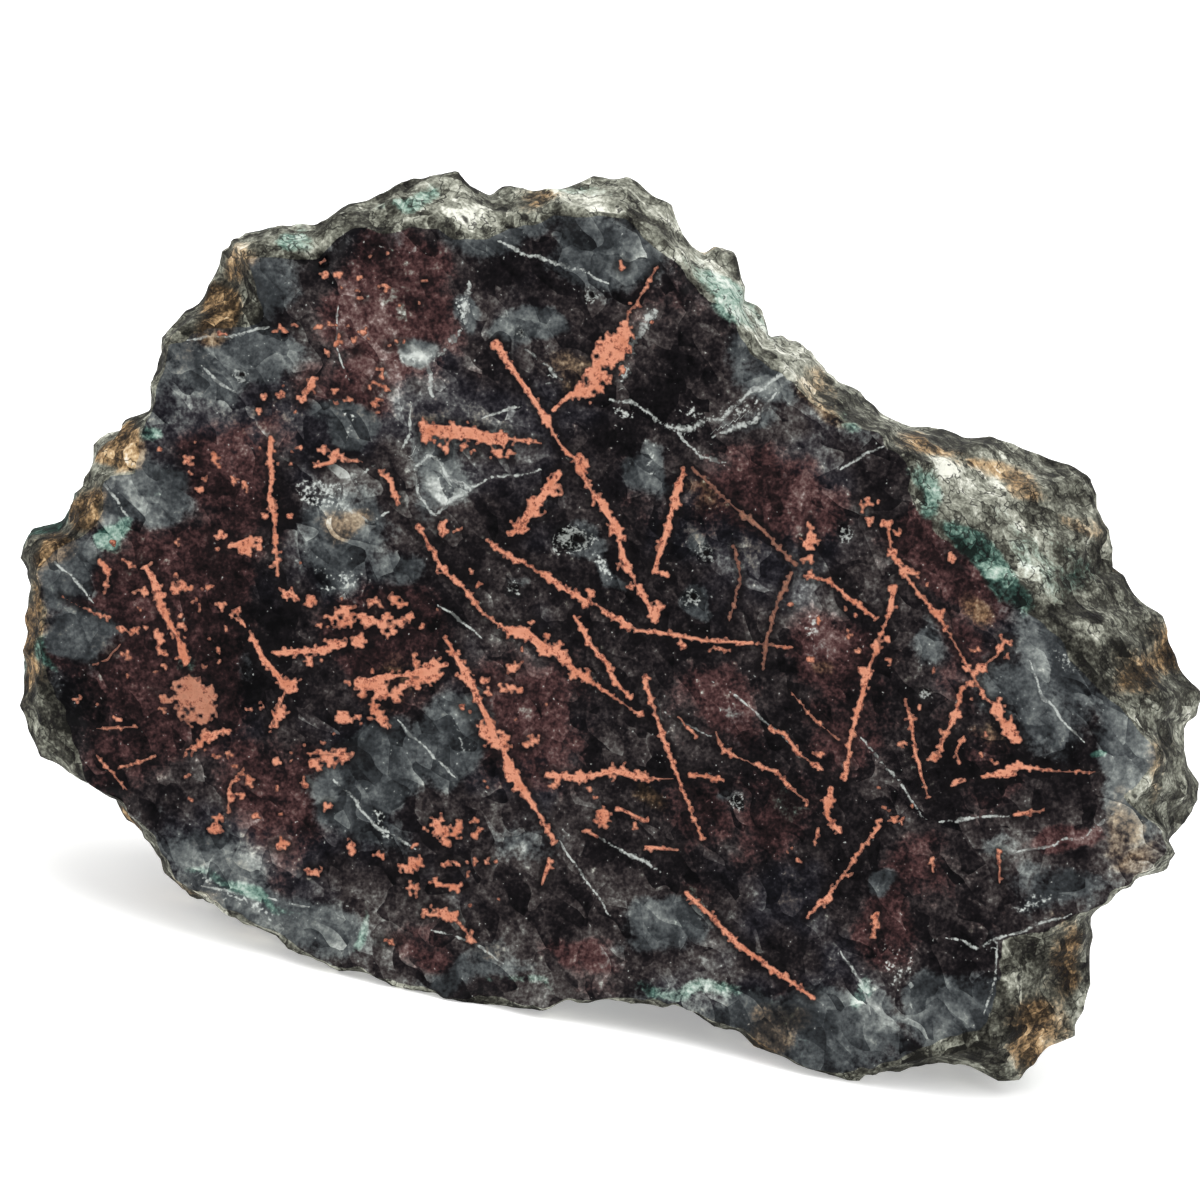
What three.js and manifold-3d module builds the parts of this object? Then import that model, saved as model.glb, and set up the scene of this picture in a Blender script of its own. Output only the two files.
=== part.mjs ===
// A hand-sized stone of dark chalcedony grown through with blades of native copper.
// One side is sawn flat, the rest keeps its rough broken rind.
// It stands on its lower edge with the sawn face leaning back.
// Millimetres, +Z up. The sawn face looks to -Y, and the origin is on the ground under the stone.

import * as THREE from 'three';
import { mergeVertices } from 'three/addons/utils/BufferGeometryUtils.js';
import Module from 'manifold-3d';

// Driving dimensions: the sawn face leans back and is rolled about its own outward direction.
// Its middle is the middle of the square sheet on which the outlines are drawn.
const FACE_LEAN = THREE.MathUtils.degToRad(15);
const FACE_ROLL = THREE.MathUtils.degToRad(12);
const FACE_CENTRE = new THREE.Vector3(-2.3, -11.5, 41.0);
const SHEET_SIZE = 120;

// The back: its level distance behind the middle of the face, how boxy its section is,
// and how fast the underside rises towards the back
const BACK_REACH = 31;
const THINNEST_BACK = 2;
const BACK_SQUARENESS = 2.7;
const UNDERSIDE_LIFT = 0.13;

// The rind falls away from the sawn edge in a rounded slope: 1 would be a straight one
const RIND_BULGE = 1.5;

// How far the silhouette lies behind the sawn face, by direction from the middle of the face.
// Directions are degrees, 0 to the right and 90 up.
const RIM_DEPTH = [
  [0, 20], [25, 21], [50, 17], [75, 11], [105, 9], [140, 8],
  [180, 6], [225, 4.5], [270, 5], [310, 8], [335, 15],
];

// Broken surface: shell-shaped scars that meet in ridges, and broad lumps under them
const SCAR_SIZE = 11;
const SCAR_DEPTH = 3.6;
const SCAR_MEAN = 0.3;
const LUMP_SIZE = 15;
const LUMP_HEIGHT = 2.2;
const RIM_ROUGHNESS = 0.22;
const BACK_ROUGHNESS_START = 0.25;

// Facet counts
const HOLLOW_SIDES = 12;
const HOLLOW_BANDS = 8;
const RIND_RINGS = 4;
const BACK_RINGS = 18;
const POINTS_GAINED_PER_RING = 8;
const TURNS = BACK_RINGS * POINTS_GAINED_PER_RING;

// Outlines on a 120 mm square sheet seen square to the face: [right, down] in millimetres.
const MIDDLE = [60, 62];

const SILHOUETTE = [
  [23.2, 24.0], [24.3, 23.2], [27.5, 22.7], [31.8, 22.5], [33.5, 21.8], [35.0, 20.5], [38.5, 19.3],
  [41.2, 18.2], [43.0, 17.7], [44.7, 17.8], [46.2, 18.5], [47.6, 19.8], [49.2, 20.1], [51.2, 19.0],
  [54.5, 18.9], [58.0, 18.3], [62.6, 17.6], [65.0, 19.0], [66.8, 20.5], [68.4, 23.5], [70.5, 25.5],
  [71.5, 25.0], [73.5, 26.2], [74.8, 28.7], [74.3, 30.0], [76.2, 31.2], [77.2, 33.3], [78.5, 33.2],
  [80.0, 34.7], [83.0, 37.2], [86.0, 39.8], [88.0, 41.0], [90.3, 42.8], [93.5, 43.0], [96.0, 43.3],
  [97.0, 44.0], [99.0, 43.8], [101.0, 44.7], [104.0, 46.8], [106.0, 47.3], [107.8, 48.2], [109.0, 49.8],
  [111.2, 53.0], [111.5, 57.2], [112.8, 57.8], [114.0, 60.0], [115.8, 61.5], [116.2, 63.5], [117.8, 67.5],
  [119.0, 69.5], [119.3, 71.0], [118.0, 72.5], [118.0, 75.0], [119.3, 80.0], [118.0, 82.0], [116.5, 84.0],
  [116.8, 85.0], [115.8, 86.8], [111.5, 89.5], [109.7, 91.0], [109.0, 92.0], [109.4, 93.5], [108.5, 98.0],
  [107.0, 102.0], [107.3, 103.5], [105.5, 104.7], [104.0, 106.0], [102.0, 107.9], [99.5, 107.8],
  [97.5, 107.0], [95.0, 106.7], [92.5, 107.0], [90.0, 106.8], [88.0, 107.6], [86.0, 108.0], [83.0, 107.8],
  [78.0, 106.0], [76.0, 105.0], [74.0, 103.3], [70.0, 101.5], [63.0, 100.1], [57.0, 100.5], [52.0, 101.3],
  [47.5, 100.2], [40.0, 98.8], [34.0, 97.0], [30.0, 95.5], [24.0, 92.5], [21.5, 90.4], [18.8, 89.4],
  [17.0, 87.7], [15.0, 84.5], [11.0, 79.8], [8.5, 78.4], [6.5, 77.4], [4.5, 75.5], [2.2, 72.0], [1.7, 70.0],
  [2.2, 60.0], [2.8, 57.0], [2.5, 55.2], [2.9, 53.7], [5.4, 53.3], [7.2, 50.6], [8.8, 48.7], [9.4, 45.3],
  [10.4, 44.2], [12.0, 43.8], [14.7, 41.0], [15.8, 37.5], [16.9, 32.7], [18.2, 31.1], [19.8, 30.8],
  [21.4, 28.1], [23.1, 24.8],
];

const SAWN_FACE = [
  [25.0, 26.2], [32.0, 25.8], [33.5, 23.5], [41.0, 23.0], [44.0, 23.2], [45.5, 24.3], [48.0, 24.5],
  [50.0, 23.8], [55.0, 21.5], [57.0, 21.5], [62.5, 22.2], [64.5, 24.0], [66.9, 25.7], [71.5, 30.5],
  [76.8, 36.4], [80.0, 39.0], [85.0, 42.5], [88.5, 44.0], [89.5, 45.0], [91.4, 50.4], [94.6, 53.8],
  [101.0, 59.2], [101.6, 61.1], [103.4, 62.1], [106.9, 65.4], [115.5, 74.7], [116.0, 76.0], [114.0, 77.5],
  [112.5, 80.0], [114.0, 81.5], [116.0, 83.0], [116.4, 84.5], [115.0, 86.5], [109.0, 91.5], [104.0, 93.0],
  [100.0, 94.0], [99.5, 98.5], [98.5, 102.0], [96.0, 104.0], [93.5, 104.5], [89.0, 106.0], [87.0, 107.2],
  [83.0, 107.2], [78.0, 105.5], [74.0, 102.8], [70.0, 101.0], [63.0, 99.6], [57.0, 100.0], [52.0, 100.6],
  [47.5, 99.7], [40.0, 98.3], [34.5, 96.5], [27.5, 93.4], [23.5, 91.4], [19.0, 88.8], [17.5, 88.0],
  [15.5, 84.0], [11.8, 80.3], [8.8, 77.9], [7.8, 75.0], [6.1, 70.4], [4.4, 67.7], [4.0, 61.0], [3.5, 57.5],
  [5.0, 55.5], [8.5, 53.5], [10.0, 51.5], [9.5, 50.0], [10.0, 47.8], [14.0, 47.6], [14.0, 44.0],
  [15.0, 41.0], [16.2, 37.5], [17.0, 34.5], [19.0, 33.5], [23.0, 33.0], [26.8, 32.2],
];

// Small hollows lined with crystals: centre, length, breadth and depth
const HOLLOWS = [
  { at: [57.3, 54.2], size: [4.2, 2.8, 1.6] },
  { at: [51.5, 59.0], size: [1.8, 1.6, 0.7] },
  { at: [70.5, 55.5], size: [2.0, 1.9, 0.9] },
  { at: [69.0, 59.8], size: [2.4, 2.1, 1.0] },
  { at: [73.5, 80.1], size: [1.9, 1.9, 0.8] },
  { at: [84.5, 53.4], size: [1.7, 2.4, 0.8] },
  { at: [92.5, 69.2], size: [1.6, 1.6, 0.7] },
  { at: [59.0, 29.6], size: [1.7, 1.7, 0.8] },
  { at: [52.0, 33.4], size: [1.5, 1.5, 0.7] },
  { at: [24.0, 37.6], size: [1.7, 1.5, 0.7] },
];

// The larger copper blades, worn a little below the harder stone round them: route and width
const BLADE_WEAR = 0.3;
const BLADE_TIP = 0.35;
const COPPER_BLADES = [
  { width: 1.1, route: [[49.5, 34.3], [54.1, 41.0], [59.2, 49.6], [63.0, 56.8], [65.7, 61.8]] },
  { width: 0.8, route: [[41.5, 52.5], [45.2, 57.9], [50.3, 62.7]] },
  { width: 1.5, route: [[51.9, 62.7], [55.7, 65.6], [59.4, 68.6], [64.0, 71.5]] },
  { width: 0.9, route: [[48.7, 53.8], [54.1, 57.3], [60.8, 61.1], [63.2, 62.8]] },
  { width: 0.9, route: [[63.7, 63.2], [69.9, 64.0], [79.2, 64.8]] },
  { width: 1.7, route: [[42.0, 42.9], [47.5, 44.2], [54.1, 44.4]] },
  { width: 1.1, route: [[51.1, 53.3], [53.6, 50.4], [56.2, 47.4]] },
  { width: 2.6, route: [[55.4, 40.8], [58.6, 37.8], [61.6, 34.2], [63.4, 30.8]] },
  { width: 0.9, route: [[68.3, 47.1], [66.7, 53.0], [65.6, 57.1]] },
  { width: 0.9, route: [[86.8, 50.1], [89.0, 54.9], [93.5, 61.1], [98.9, 70.2]] },
  { width: 2.0, route: [[98.9, 70.2], [100.8, 74.2]] },
  { width: 0.9, route: [[89.4, 58.9], [87.1, 67.2], [84.3, 77.9]] },
  { width: 0.9, route: [[80.7, 57.6], [83.4, 58.7], [87.6, 61.9]] },
  { width: 1.5, route: [[80.9, 52.5], [80.8, 56.2]] },
  { width: 0.8, route: [[90.6, 69.9], [91.7, 75.8], [92.7, 80.6]] },
  { width: 1.0, route: [[96.2, 68.6], [93.8, 75.8]] },
  { width: 0.9, route: [[64.4, 68.0], [66.2, 73.5], [68.6, 79.9], [70.2, 83.9]] },
  { width: 0.8, route: [[71.6, 73.2], [74.8, 76.2], [77.5, 77.1], [80.8, 80.3]] },
  { width: 0.8, route: [[76.9, 72.8], [80.1, 75.6], [82.3, 77.0]] },
  { width: 1.0, route: [[54.7, 77.5], [61.4, 77.3], [67.3, 77.9]] },
  { width: 1.0, route: [[68.6, 89.3], [73.7, 94.4], [81.2, 99.7]] },
  { width: 0.9, route: [[87.9, 82.6], [85.0, 86.6], [80.7, 91.7]] },
  { width: 1.7, route: [[44.7, 64.0], [48.4, 71.2], [52.5, 79.3], [55.4, 84.4]] },
  { width: 1.4, route: [[35.9, 68.4], [40.7, 67.8], [44.7, 66.4]] },
  { width: 1.9, route: [[32.4, 62.2], [37.0, 61.4], [41.2, 62.2]] },
  { width: 0.9, route: [[24.9, 63.5], [28.7, 68.8], [27.1, 72.6]] },
  { width: 1.2, route: [[14.5, 56.5], [16.9, 61.6], [19.0, 66.4]] },
  { width: 3.4, route: [[18.0, 68.4], [20.2, 71.8]] },
  { width: 0.8, route: [[26.8, 45.8], [27.3, 52.2], [27.9, 57.3]] },
  { width: 1.1, route: [[42.8, 84.2], [46.2, 81.8]] },
  { width: 1.0, route: [[99.9, 85.0], [100.0, 88.3]] },
  { width: 0.9, route: [[98.4, 77.5], [105.6, 77.0]] },
];

// Face directions: right and up along the sawn face, and out of it
const UP_SLOPE = new THREE.Vector3(0, Math.sin(FACE_LEAN), Math.cos(FACE_LEAN));
const OUTWARD = new THREE.Vector3(0, -Math.cos(FACE_LEAN), Math.sin(FACE_LEAN));
const FACE_RIGHT = new THREE.Vector3(1, 0, 0).applyAxisAngle(OUTWARD, FACE_ROLL);
const FACE_UP = UP_SLOPE.clone().applyAxisAngle(OUTWARD, FACE_ROLL);
const FACE_TO_PART = new THREE.Matrix4().makeBasis(FACE_RIGHT, FACE_UP, OUTWARD).setPosition(FACE_CENTRE);

// A sheet point as [right, up] from the middle of the sheet
const onFace = ([right, down]) => [right - SHEET_SIZE / 2, SHEET_SIZE / 2 - down];
const CENTRE = onFace(MIDDLE);

// Distance from the face's middle to an outline along one direction
function outlineReach(outline, turn) {
  const [dx, dy] = [Math.cos(turn), Math.sin(turn)];
  let reach = 0;
  outline.forEach((point, i) => {
    const [ax, ay] = onFace(point).map((value, k) => value - CENTRE[k]);
    const [bx, by] = onFace(outline[(i + 1) % outline.length]).map((value, k) => value - CENTRE[k]);
    const [ex, ey] = [bx - ax, by - ay];
    const cross = dx * ey - dy * ex;
    const along = (ax * ey - ay * ex) / cross;
    const share = (ax * dy - ay * dx) / cross;
    if (along > reach && share >= 0 && share <= 1) {
      reach = along;
    }
  });
  return reach;
}

// Rim depth eased between the listed directions
function rimDepth(turn) {
  const degrees = ((THREE.MathUtils.radToDeg(turn) % 360) + 360) % 360;
  const next = RIM_DEPTH.findIndex(([direction]) => direction > degrees);
  const last = next < 0 ? RIM_DEPTH.length - 1 : next - 1;
  const [start, startDepth] = RIM_DEPTH[last];
  const [end, endDepth] = next < 0 ? [360, RIM_DEPTH[0][1]] : RIM_DEPTH[next];
  const ease = THREE.MathUtils.smoothstep(degrees, start, end);
  return THREE.MathUtils.lerp(startDepth, endDepth, ease);
}

// A repeatable number from 0 to 1 for a lattice cell
function cellNumber(i, j, k, salt) {
  const wave = Math.sin(i * 127.1 + j * 311.7 + k * 74.7 + salt * 53.3) * 43758.5453;
  return wave - Math.floor(wave);
}

// Broad lumps: smooth lattice noise from -1 to 1
function lumps(x, y, z) {
  const [i, j, k] = [Math.floor(x), Math.floor(y), Math.floor(z)];
  const [fx, fy, fz] = [x - i, y - j, z - k].map((f) => f * f * (3 - 2 * f));
  let sum = 0;
  for (const a of [0, 1]) {
    for (const b of [0, 1]) {
      for (const c of [0, 1]) {
        const weight = (a ? fx : 1 - fx) * (b ? fy : 1 - fy) * (c ? fz : 1 - fz);
        sum += weight * cellNumber(i + a, j + b, k + c, 0);
      }
    }
  }
  return 2 * sum - 1;
}

// Shell-shaped scars: the squared distance to the nearest of a jittered lattice of points
function scars(x, y, z) {
  const [i, j, k] = [Math.floor(x), Math.floor(y), Math.floor(z)];
  const aside = [-1, 0, 1];
  let nearest = Infinity;
  for (const a of aside) {
    for (const b of aside) {
      for (const c of aside) {
        const cell = [i + a, j + b, k + c];
        const gx = x - cell[0] - cellNumber(...cell, 1);
        const gy = y - cell[1] - cellNumber(...cell, 2);
        const gz = z - cell[2] - cellNumber(...cell, 3);
        nearest = Math.min(nearest, gx * gx + gy * gy + gz * gz);
      }
    }
  }
  return nearest - SCAR_MEAN;
}

// Moves a surface point outward by the broken relief there
function roughen(point, outward, strength) {
  const { x, y, z } = point;
  const scarred = SCAR_DEPTH * scars(x / SCAR_SIZE, y / SCAR_SIZE, z / SCAR_SIZE);
  const lumpy = LUMP_HEIGHT * lumps(x / LUMP_SIZE, y / LUMP_SIZE, z / LUMP_SIZE);
  return point.addScaledVector(outward, strength * (scarred + lumpy));
}

// A point of the rind between the sawn edge (share 0) and the silhouette (share 1)
function rindPoint(turn, share) {
  const reach = THREE.MathUtils.lerp(outlineReach(SAWN_FACE, turn), outlineReach(SILHOUETTE, turn), share);
  const depth = rimDepth(turn) * share ** RIND_BULGE;
  const point = new THREE.Vector3(
    CENTRE[0] + reach * Math.cos(turn),
    CENTRE[1] + reach * Math.sin(turn),
    -depth,
  );
  const outward = new THREE.Vector3(Math.cos(turn), Math.sin(turn), 0);
  return roughen(point, outward, RIM_ROUGHNESS * share);
}

// A point of the back between the silhouette (share 0) and the middle of the back (share 1).
// The section is a squared ellipse, and the far wall stands upright although the face leans.
function backPoint(turn, share) {
  const rim = rimDepth(turn);
  const spread = Math.cos(share * Math.PI / 2) ** (2 / BACK_SQUARENESS);
  const sink = Math.sin(share * Math.PI / 2) ** (2 / BACK_SQUARENESS);
  const reach = outlineReach(SILHOUETTE, turn) * spread;
  const right = CENTRE[0] + reach * Math.cos(turn);
  const up = CENTRE[1] + reach * Math.sin(turn);
  const upSlope = right * Math.sin(FACE_ROLL) + up * Math.cos(FACE_ROLL);
  const wall = (BACK_REACH - upSlope * Math.sin(FACE_LEAN)) / Math.cos(FACE_LEAN);
  const depth = THREE.MathUtils.lerp(rim, Math.max(wall, rim + THINNEST_BACK), sink);
  const lift = UNDERSIDE_LIFT * (depth - rim);
  const point = new THREE.Vector3(
    right - lift * Math.sin(FACE_ROLL),
    up + lift * Math.cos(FACE_ROLL),
    -depth,
  );
  const sideways = spread ** (BACK_SQUARENESS - 1);
  const backward = sink ** (BACK_SQUARENESS - 1);
  const outward = new THREE.Vector3(sideways * Math.cos(turn), sideways * Math.sin(turn), -backward);
  outward.normalize();
  const fade = THREE.MathUtils.smoothstep(share, 0, BACK_ROUGHNESS_START);
  return roughen(point, outward, THREE.MathUtils.lerp(RIM_ROUGHNESS, 1, fade));
}

// One closed skin from the face's middle over the rind to the back's middle.
// The rings of the back lose eight points each on the way in, so their facets stay even.
function stoneSkin() {
  const points = [];
  const faces = [];
  const addRing = (count, place) => Array.from({ length: count }, (_, step) => {
    points.push(place(step / count * 2 * Math.PI));
    return points.length - 1;
  });

  const [faceMiddle] = addRing(1, () => new THREE.Vector3(CENTRE[0], CENTRE[1], 0));
  let outer = addRing(TURNS, (turn) => rindPoint(turn, 0));
  outer.forEach((corner, step) => faces.push(faceMiddle, corner, outer[(step + 1) % TURNS]));

  for (let ring = 1; ring <= RIND_RINGS; ring += 1) {
    const inner = addRing(TURNS, (turn) => rindPoint(turn, ring / RIND_RINGS));
    for (let step = 0; step < TURNS; step += 1) {
      const next = (step + 1) % TURNS;
      faces.push(outer[step], inner[step], inner[next]);
      faces.push(outer[step], inner[next], outer[next]);
    }
    outer = inner;
  }

  for (let ring = BACK_RINGS - 1; ring >= 0; ring -= 1) {
    const count = Math.max(ring * POINTS_GAINED_PER_RING, 1);
    const inner = addRing(count, (turn) => backPoint(turn, 1 - ring / BACK_RINGS));
    const [outerSide, innerSide] = [outer.length / 4, Math.floor(inner.length / 4)];
    outer.forEach((corner, step) => {
      const side = Math.floor(step / outerSide);
      const along = step % outerSide;
      const next = outer[(step + 1) % outer.length];
      const low = inner[(side * innerSide + Math.max(along - 1, 0)) % count];
      const high = inner[(side * innerSide + Math.min(along, innerSide)) % count];
      const pastMiddle = along >= outerSide / 2;
      faces.push(corner, pastMiddle ? low : high, next);
      if (low !== high) {
        faces.push(pastMiddle ? next : corner, low, high);
      }
    });
    outer = inner;
  }

  const geometry = new THREE.BufferGeometry().setFromPoints(points);
  geometry.setIndex(faces);
  return geometry.applyMatrix4(FACE_TO_PART);
}

// A hollow as a squashed ball centred on the face
function hollowCutter({ at, size: [length, breadth, depth] }) {
  const [right, up] = onFace(at);
  const ball = new THREE.SphereGeometry(1, HOLLOW_SIDES, HOLLOW_BANDS);
  ball.scale(length / 2, breadth / 2, depth);
  return ball.translate(right, up, 0).applyMatrix4(FACE_TO_PART);
}

// A copper blade's worn bed: a ribbon along its route, narrowing to both tips
function bladeCutter({ route, width }) {
  const points = route.map((point) => new THREE.Vector2(...onFace(point)));
  const leftSide = [];
  const rightSide = [];
  points.forEach((point, i) => {
    const before = points[Math.max(i - 1, 0)];
    const after = points[Math.min(i + 1, points.length - 1)];
    const along = after.clone().sub(before).normalize();
    const across = new THREE.Vector2(-along.y, along.x);
    const tip = i === 0 || i === points.length - 1;
    const half = width / 2 * (tip ? BLADE_TIP : 1);
    leftSide.push(point.clone().addScaledVector(across, half));
    rightSide.unshift(point.clone().addScaledVector(across, -half));
  });
  const ribbon = new THREE.Shape([...leftSide, ...rightSide]);
  const bed = new THREE.ExtrudeGeometry(ribbon, { depth: 2 * BLADE_WEAR, bevelEnabled: false });
  return bed.translate(0, 0, -BLADE_WEAR).applyMatrix4(FACE_TO_PART);
}

// The ground under the stone, which flattens its feet
function groundBlock() {
  const span = 2 * SHEET_SIZE;
  return new THREE.BoxGeometry(span, span, span).translate(0, 0, -span / 2);
}

const wasm = await Module();
wasm.setup();

const MERGE_WITHIN = 1e-4;

// A closed surface as a body that can be cut
function solid(geometry) {
  geometry.deleteAttribute('normal');
  geometry.deleteAttribute('uv');
  const merged = mergeVertices(geometry, MERGE_WITHIN);
  return new wasm.Manifold(new wasm.Mesh({
    numProp: 3,
    vertProperties: new Float32Array(merged.attributes.position.array),
    triVerts: new Uint32Array(merged.index.array),
  }));
}

let stone = solid(stoneSkin());
for (const hollow of HOLLOWS) {
  stone = stone.subtract(solid(hollowCutter(hollow)));
}
for (const blade of COPPER_BLADES) {
  stone = stone.subtract(solid(bladeCutter(blade)));
}
stone = stone.subtract(solid(groundBlock()));

// The finished stone with its dark chalcedony colour
function shownMesh(body) {
  const { vertProperties, triVerts } = body.getMesh();
  const geometry = new THREE.BufferGeometry();
  geometry.setAttribute('position', new THREE.BufferAttribute(vertProperties, 3));
  geometry.setIndex(new THREE.BufferAttribute(triVerts, 1));
  geometry.computeVertexNormals();
  const chalcedony = new THREE.MeshStandardMaterial({ color: 0x3c3836, roughness: 0.45, metalness: 0 });
  const mesh = new THREE.Mesh(geometry, chalcedony);
  mesh.name = 'stone';
  return mesh;
}

const specimen = new THREE.Group();
specimen.add(shownMesh(stone));

export default specimen;
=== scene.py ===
import math
from itertools import product

import bpy
import numpy as np
from mathutils import Matrix, Vector


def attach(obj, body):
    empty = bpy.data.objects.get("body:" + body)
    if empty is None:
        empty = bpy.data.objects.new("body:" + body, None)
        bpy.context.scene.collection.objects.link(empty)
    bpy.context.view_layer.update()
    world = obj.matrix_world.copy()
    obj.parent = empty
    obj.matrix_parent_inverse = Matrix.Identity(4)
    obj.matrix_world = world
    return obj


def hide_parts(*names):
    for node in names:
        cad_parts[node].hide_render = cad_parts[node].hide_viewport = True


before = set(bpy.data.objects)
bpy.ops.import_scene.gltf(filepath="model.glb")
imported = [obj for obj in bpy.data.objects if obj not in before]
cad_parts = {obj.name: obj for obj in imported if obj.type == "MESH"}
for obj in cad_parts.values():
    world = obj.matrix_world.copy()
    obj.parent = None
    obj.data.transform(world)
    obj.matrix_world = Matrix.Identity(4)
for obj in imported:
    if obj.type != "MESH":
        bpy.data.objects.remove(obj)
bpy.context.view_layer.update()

# The stone
# A hand-sized lump of dark chalcedony, sawn flat on one side; the rest is its natural broken rind.
# Cuprite stains it red-brown, and quartz veins, green copper salts and iron stain run through it.
# It is one piece and stands unheld on its own lower edge, with the sawn face leaning back.

MM = 0.001
SHEET = 120.0
FACE_LEAN = math.radians(15)
FACE_ROLL = math.radians(12)
FACE_CENTRE = np.array([-2.3, -11.5, 41.0])
MIDDLE = np.array([60.0, 62.0])
BACK_REACH = 31.0
THINNEST_BACK = 2.0
CAMERA_GAP = 900.0
BACK_SQUARENESS = 2.7
UNDERSIDE_LIFT = 0.13
RIND_BULGE = 1.5

# How far the silhouette lies behind the sawn face, by direction in degrees (0 right, 90 up), in mm.
RIM_DIRECTIONS = np.array([0, 25, 50, 75, 105, 140, 180, 225, 270, 310, 335, 360.0])
RIM_DEPTHS = np.array([20, 21, 17, 11, 9, 8, 6, 4.5, 5, 8, 15, 20.0])

# Outlines on a 120 mm square sheet seen square to the face: (right, down) in mm.
SILHOUETTE = np.array([
    (23.2, 24), (24.3, 23.2), (27.5, 22.7), (31.8, 22.5), (33.5, 21.8), (35, 20.5), (38.5, 19.3),
    (41.2, 18.2), (43, 17.7), (44.7, 17.8), (46.2, 18.5), (47.6, 19.8), (49.2, 20.1), (51.2, 19),
    (54.5, 18.9), (58, 18.3), (62.6, 17.6), (65, 19), (66.8, 20.5), (68.4, 23.5), (70.5, 25.5),
    (71.5, 25), (73.5, 26.2), (74.8, 28.7), (74.3, 30), (76.2, 31.2), (77.2, 33.3), (78.5, 33.2),
    (80, 34.7), (83, 37.2), (86, 39.8), (88, 41), (90.3, 42.8), (93.5, 43), (96, 43.3), (97, 44),
    (99, 43.8), (101, 44.7), (104, 46.8), (106, 47.3), (107.8, 48.2), (109, 49.8), (111.2, 53),
    (111.5, 57.2), (112.8, 57.8), (114, 60), (115.8, 61.5), (116.2, 63.5), (117.8, 67.5), (119, 69.5),
    (119.3, 71), (118, 72.5), (118, 75), (119.3, 80), (118, 82), (116.5, 84), (116.8, 85), (115.8, 86.8),
    (111.5, 89.5), (109.7, 91), (109, 92), (109.4, 93.5), (108.5, 98), (107, 102), (107.3, 103.5),
    (105.5, 104.7), (104, 106), (102, 107.9), (99.5, 107.8), (97.5, 107), (95, 106.7), (92.5, 107),
    (90, 106.8), (88, 107.6), (86, 108), (83, 107.8), (78, 106), (76, 105), (74, 103.3), (70, 101.5),
    (63, 100.1), (57, 100.5), (52, 101.3), (47.5, 100.2), (40, 98.8), (34, 97), (30, 95.5), (24, 92.5),
    (21.5, 90.4), (18.8, 89.4), (17, 87.7), (15, 84.5), (11, 79.8), (8.5, 78.4), (6.5, 77.4), (4.5, 75.5),
    (2.2, 72), (1.7, 70), (2.2, 60), (2.8, 57), (2.5, 55.2), (2.9, 53.7), (5.4, 53.3), (7.2, 50.6),
    (8.8, 48.7), (9.4, 45.3), (10.4, 44.2), (12, 43.8), (14.7, 41), (15.8, 37.5), (16.9, 32.7),
    (18.2, 31.1), (19.8, 30.8), (21.4, 28.1), (23.1, 24.8),
])
SAWN_FACE = np.array([
    (25, 26.2), (32, 25.8), (33.5, 23.5), (41, 23), (44, 23.2), (45.5, 24.3), (48, 24.5), (50, 23.8),
    (55, 21.5), (57, 21.5), (62.5, 22.2), (64.5, 24), (66.9, 25.7), (71.5, 30.5), (76.8, 36.4), (80, 39),
    (85, 42.5), (88.5, 44), (89.5, 45), (91.4, 50.4), (94.6, 53.8), (101, 59.2), (101.6, 61.1),
    (103.4, 62.1), (106.9, 65.4), (115.5, 74.7), (116, 76), (114, 77.5), (112.5, 80), (114, 81.5),
    (116, 83), (116.4, 84.5), (115, 86.5), (109, 91.5), (104, 93), (100, 94), (99.5, 98.5), (98.5, 102),
    (96, 104), (93.5, 104.5), (89, 106), (87, 107.2), (83, 107.2), (78, 105.5), (74, 102.8), (70, 101),
    (63, 99.6), (57, 100), (52, 100.6), (47.5, 99.7), (40, 98.3), (34.5, 96.5), (27.5, 93.4),
    (23.5, 91.4), (19, 88.8), (17.5, 88), (15.5, 84), (11.8, 80.3), (8.8, 77.9), (7.8, 75), (6.1, 70.4),
    (4.4, 67.7), (4, 61), (3.5, 57.5), (5, 55.5), (8.5, 53.5), (10, 51.5), (9.5, 50), (10, 47.8),
    (14, 47.6), (14, 44), (15, 41), (16.2, 37.5), (17, 34.5), (19, 33.5), (23, 33), (26.8, 32.2),
])

# Small hollows lined with quartz crystals: place, length, breadth and depth in mm.
HOLLOWS = [
    (57.3, 54.2, 4.2, 2.8, 1.6), (51.5, 59, 1.8, 1.6, 0.7), (70.5, 55.5, 2, 1.9, 0.9),
    (69, 59.8, 2.4, 2.1, 1), (73.5, 80.1, 1.9, 1.9, 0.8), (84.5, 53.4, 1.7, 2.4, 0.8),
    (92.5, 69.2, 1.6, 1.6, 0.7), (59, 29.6, 1.7, 1.7, 0.8), (52, 33.4, 1.5, 1.5, 0.7),
    (24, 37.6, 1.7, 1.5, 0.7),
]

UP_SLOPE = np.array([0.0, math.sin(FACE_LEAN), math.cos(FACE_LEAN)])
FACE_OUT = np.array([0.0, -math.cos(FACE_LEAN), math.sin(FACE_LEAN)])
LEVEL = np.array([1.0, 0.0, 0.0])
FACE_RIGHT = math.cos(FACE_ROLL) * LEVEL + math.sin(FACE_ROLL) * UP_SLOPE
FACE_UP = math.cos(FACE_ROLL) * UP_SLOPE - math.sin(FACE_ROLL) * LEVEL


def in_part_frame(right, up, out):
    """Face coordinates in mm, from the sheet's middle, as points of the part's frame in metres."""
    place = np.outer(right, FACE_RIGHT) + np.outer(up, FACE_UP) + np.outer(out, FACE_OUT)
    return (place + FACE_CENTRE) * MM


def smooth_step(value, start, end):
    """Rises from 0 at start to 1 at end along 3t^2 - 2t^3."""
    t = np.clip((value - start) / (end - start), 0.0, 1.0)
    return t * t * (3.0 - 2.0 * t)


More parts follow.
